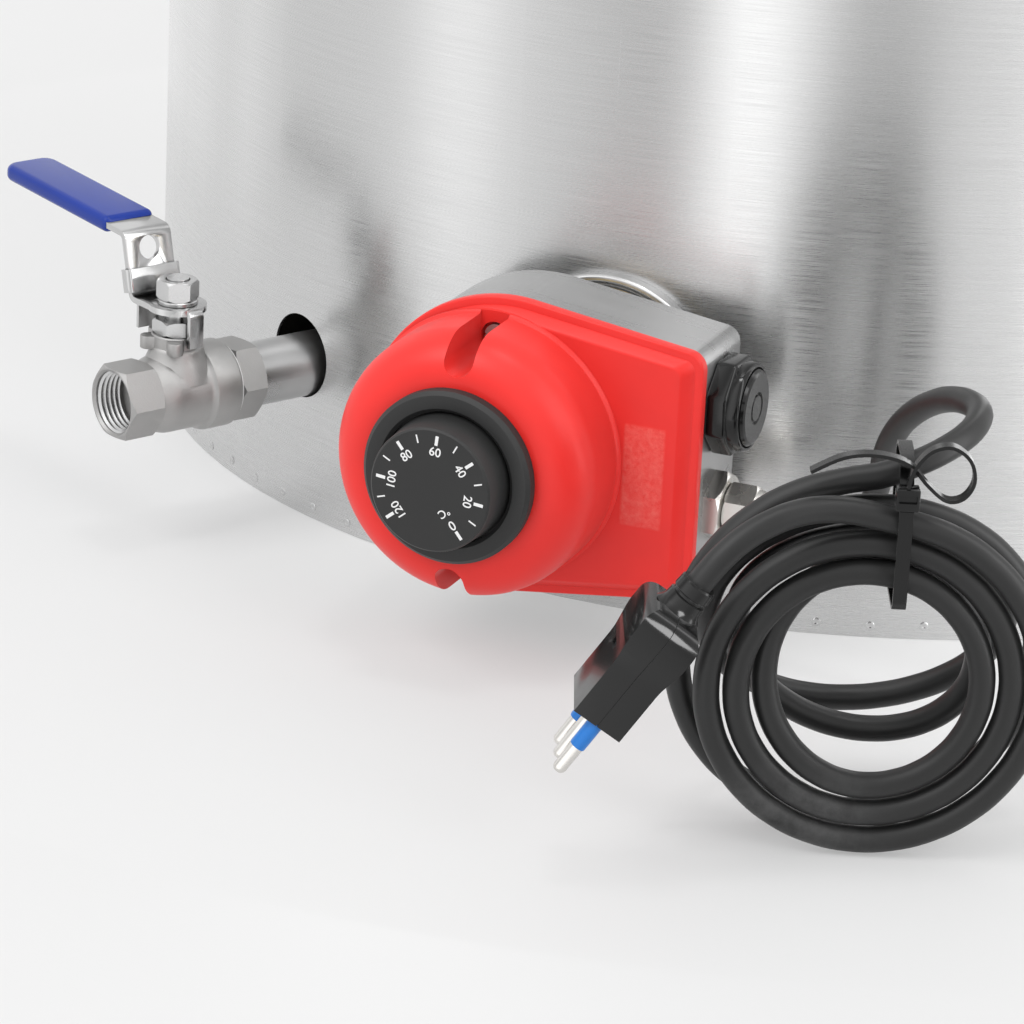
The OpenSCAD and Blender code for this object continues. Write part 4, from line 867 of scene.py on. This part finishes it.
def ribbon(name, points, across, thick, place):
    strip = draw_line(name, points)
    bpy.ops.mesh.select_all(action="SELECT")
    bpy.ops.mesh.extrude_region_move(TRANSFORM_OT_translate={"value": Vector(across) * MM})
    bpy.ops.mesh.select_all(action="SELECT")
    bpy.ops.transform.translate(value=Vector(across) * (-0.5 * MM))
    tidy_mesh()
    wall = strip.modifiers.new("thickness", "SOLIDIFY")
    wall.thickness = thick * MM
    wall.offset = 0
    apply_all(strip)
    return set_down(strip, place)

def make_tie():
    low, front, rear, high = 77.1, -8.45, 16.3, 118.9
    loop = ([(front, 106)] + arc(front + 3, low + 3, 3, 180, 270, 6) + arc(rear - 3, low + 3, 3, 270, 360, 6)
            + arc(rear - 4, high - 4, 4, 0, 90, 6)
            + [(4.8, high), (2, high - 2), (front + 1.4, 108), (front, 106)])
    middle = 0.5
    strap = ribbon("strap", [(middle, v, z) for v, z in loop], (3.9, 0, 0), 1.1, in_coil)
    at_head = in_coil @ shift(middle, 0, 109.9) @ turn(90, "X")
    head = soften(prism("head", rounded_box(3.3, 3.2, 0.7), 5.3, 10.5, at_head), 0.5, 2)
    at_window = in_coil @ shift(middle, 0, 110.3) @ turn(90, "X")
    window = prism("window", rounded_box(2.5, 1.2, 0.3), 9.6, 11, at_window)
    combine(head, window)
    end = smooth_line([(0.5, -7.9, 110), (0.5, -8, 114), (2, -8.5, 119.5), (6, -9, 124.5), (11.5, -9.5, 126),
                       (16.5, -9.5, 122.5), (18, -9.5, 116.5), (15.5, -9, 111.5), (11, -7.5, 110),
                       (6, -4.5, 113), (0.5, -2, 118), (-8, -1.5, 120), (-17, -1.5, 119),
                       (-26, -2, 114.5)], 5)
    tail = ribbon("tail", [tuple(p) for p in end], (0, 3.8, 0), 1.0, in_coil)
    return piece(join("cable_tie", [strap, head, tail]), tie_nylon, "tank", "zip_tie", slot="tie_nylon")

# Spot welds along the casing's lower edge
def make_welds():
    count, casing_r, weld_z = 92, 250, 4
    dimple = [(0, 0.05), (0.45, 0.03), (0.7, 0.16), (1.1, 0.2), (1.5, -0.02)]
    welds = []
    for k in range(count):
        at = turn(360 / count * k + 1.3, "Z") @ shift(0, -casing_r, weld_z + 0.4 * math.sin(2.4 * k))
        if not welds:
            one = lathe("weld", dimple, Matrix.Identity(4), 14)
            first = one.data.copy()
        else:
            one = bpy.data.objects.new("weld", first.copy())
            bpy.context.scene.collection.objects.link(one)
        welds.append(set_down(one, at @ turn(90, "X")))
    piece(join("spot_welds", welds), weld_steel, "tank", slot="stainless", angle=40)

make_cover()
make_dial()
make_dial_marks()
make_reset()
make_gland()
make_valve_body()
make_valve_cap()
make_lever()
make_sleeve()
make_lock()
make_lever_nuts()
tied_on = make_plug() + [make_tie()]
make_welds()

# Floor with painted light: the paper glows a little, more towards the back, which lifts its shadows and evens
# its brightness
def lay_floor():
    bpy.ops.mesh.primitive_plane_add(size=12)
    floor = bpy.context.object
    floor.name = "floor"
    floor.data.transform(Matrix.Translation((0, 0, -0.0002)))
    paper = surface("floor paper", grey(0.42), 0.6, spec=0.2)
    # Painted light: this glow stands in for light falling on the floor
    shader_of(paper).inputs["Emission Color"].default_value = (1, 1, 1, 1)
    split = add(paper, "ShaderNodeSeparateXYZ")
    wire(paper, where(paper), split.inputs["Vector"])
    depth = add(paper, "ShaderNodeMapRange")
    for key, value in (("From Min", -0.35), ("From Max", 0.25), ("To Min", 0.345), ("To Max", 0.43)):
        depth.inputs[key].default_value = value
    wire(paper, split.outputs["Y"], depth.inputs["Value"])
    wire(paper, depth.outputs["Result"], shader_of(paper).inputs["Emission Strength"])
    floor.data.materials.append(paper)

def light_world():
    world = bpy.data.worlds.new("studio")
    bpy.context.scene.world = world
    world.use_nodes = True
    back = world.node_tree.nodes["Background"]
    back.inputs["Color"].default_value = (1, 1, 1, 1)
    back.inputs["Strength"].default_value = 0.8

# Paper screen round the tank that its steel mirrors: angle from the front in degrees, and brightness there
screen_panels = [(-180, 0.6), (-95, 0.62), (-87, 0.66), (-79, 0.56), (-72, 0.68), (-63, 0.52), (-48, 0.54),
                 (-41, 0.58), (-34, 0.8), (-29, 0.78), (-23, 0.58), (-13, 0.46), (-5, 0.38), (-1, 0.6),
                 (3, 1.0), (7, 1.0), (11, 0.72), (17, 0.42), (22, 0.44), (29, 0.58), (40, 0.6), (45, 2.4),
                 (54, 2.4), (59, 0.7), (100, 0.55), (140, 0.7), (180, 0.6)]
screen_r, screen_h, screen_glow = 0.5, 1.4, 1.65

def screen_light():
    glow = bpy.data.materials.new("paper panels")
    glow.use_nodes = True
    glow.node_tree.nodes.clear()
    coord = add(glow, "ShaderNodeTexCoord")
    split = add(glow, "ShaderNodeSeparateXYZ")
    wire(glow, coord.outputs["Object"], split.inputs["Vector"])
    flip = add(glow, "ShaderNodeMath", operation="MULTIPLY")
    flip.inputs[1].default_value = -1
    wire(glow, split.outputs["Y"], flip.inputs[0])
    angle = add(glow, "ShaderNodeMath", operation="ARCTAN2")
    wire(glow, split.outputs["X"], angle.inputs[0])
    wire(glow, flip.outputs["Value"], angle.inputs[1])
    share = add(glow, "ShaderNodeMapRange")
    share.inputs["From Min"].default_value = -math.pi
    share.inputs["From Max"].default_value = math.pi
    wire(glow, angle.outputs["Value"], share.inputs["Value"])
    tones = ramp(glow, share.outputs["Result"], [((d + 180) / 360, grey(v)) for d, v in screen_panels])
    light = add(glow, "ShaderNodeEmission")
    light.inputs["Strength"].default_value = screen_glow
    wire(glow, tones, light.inputs["Color"])
    wire(glow, light.outputs["Emission"], add(glow, "ShaderNodeOutputMaterial").inputs["Surface"])
    return glow

def stand_screen():
    bpy.ops.mesh.primitive_cylinder_add(vertices=128, radius=screen_r, depth=screen_h,
                                        end_fill_type="NOTHING", location=(0, 0, screen_h / 2))
    screen = bpy.context.object
    screen.name = "paper_screen"
    bpy.ops.object.transform_apply(location=True)
    screen.data.materials.append(screen_light())
    for ray in ("camera", "diffuse", "shadow", "transmission", "volume_scatter"):
        setattr(screen, "visible_" + ray, False)

def lamp(name, spot, size, power, aim):
    data = bpy.data.lights.new(name, "AREA")
    data.shape = "RECTANGLE"
    data.size, data.size_y = size
    data.energy = power
    obj = bpy.data.objects.new(name, data)
    bpy.context.scene.collection.objects.link(obj)
    obj.location = spot
    obj.rotation_euler = (Vector(aim) - Vector(spot)).to_track_quat("-Z", "Y").to_euler()
    obj.visible_camera = False
    return obj

# Three lamps, and a small one that only touches the plug's body and collar
def hang_lamps():
    lamp("key", (-0.9, -1.6, 1.9), (1.2, 1.2), 22, (0, -0.3, 0.05))
    lamp("top", (0.12, -0.44, 1.5), (0.25, 0.25), 2.0, (0.1, -0.4, 0))
    glint = lamp("glint", (0.140, -0.470, 0.098), (0.03, 0.03), 0.03, (0.094, -0.442, 0.071))
    lit = bpy.data.collections.new("lit by glint")
    for obj in tied_on[:2]:
        lit.objects.link(obj)
    glint.light_linking.receiver_collection = lit
    lamp("side", (1.6, -1.1, 1.2), (0.9, 1.2), 10, (0.05, -0.3, 0.1))

lay_floor()
light_world()
stand_screen()
hang_lamps()

view = bpy.context.scene.view_settings
view.view_transform = "Standard"
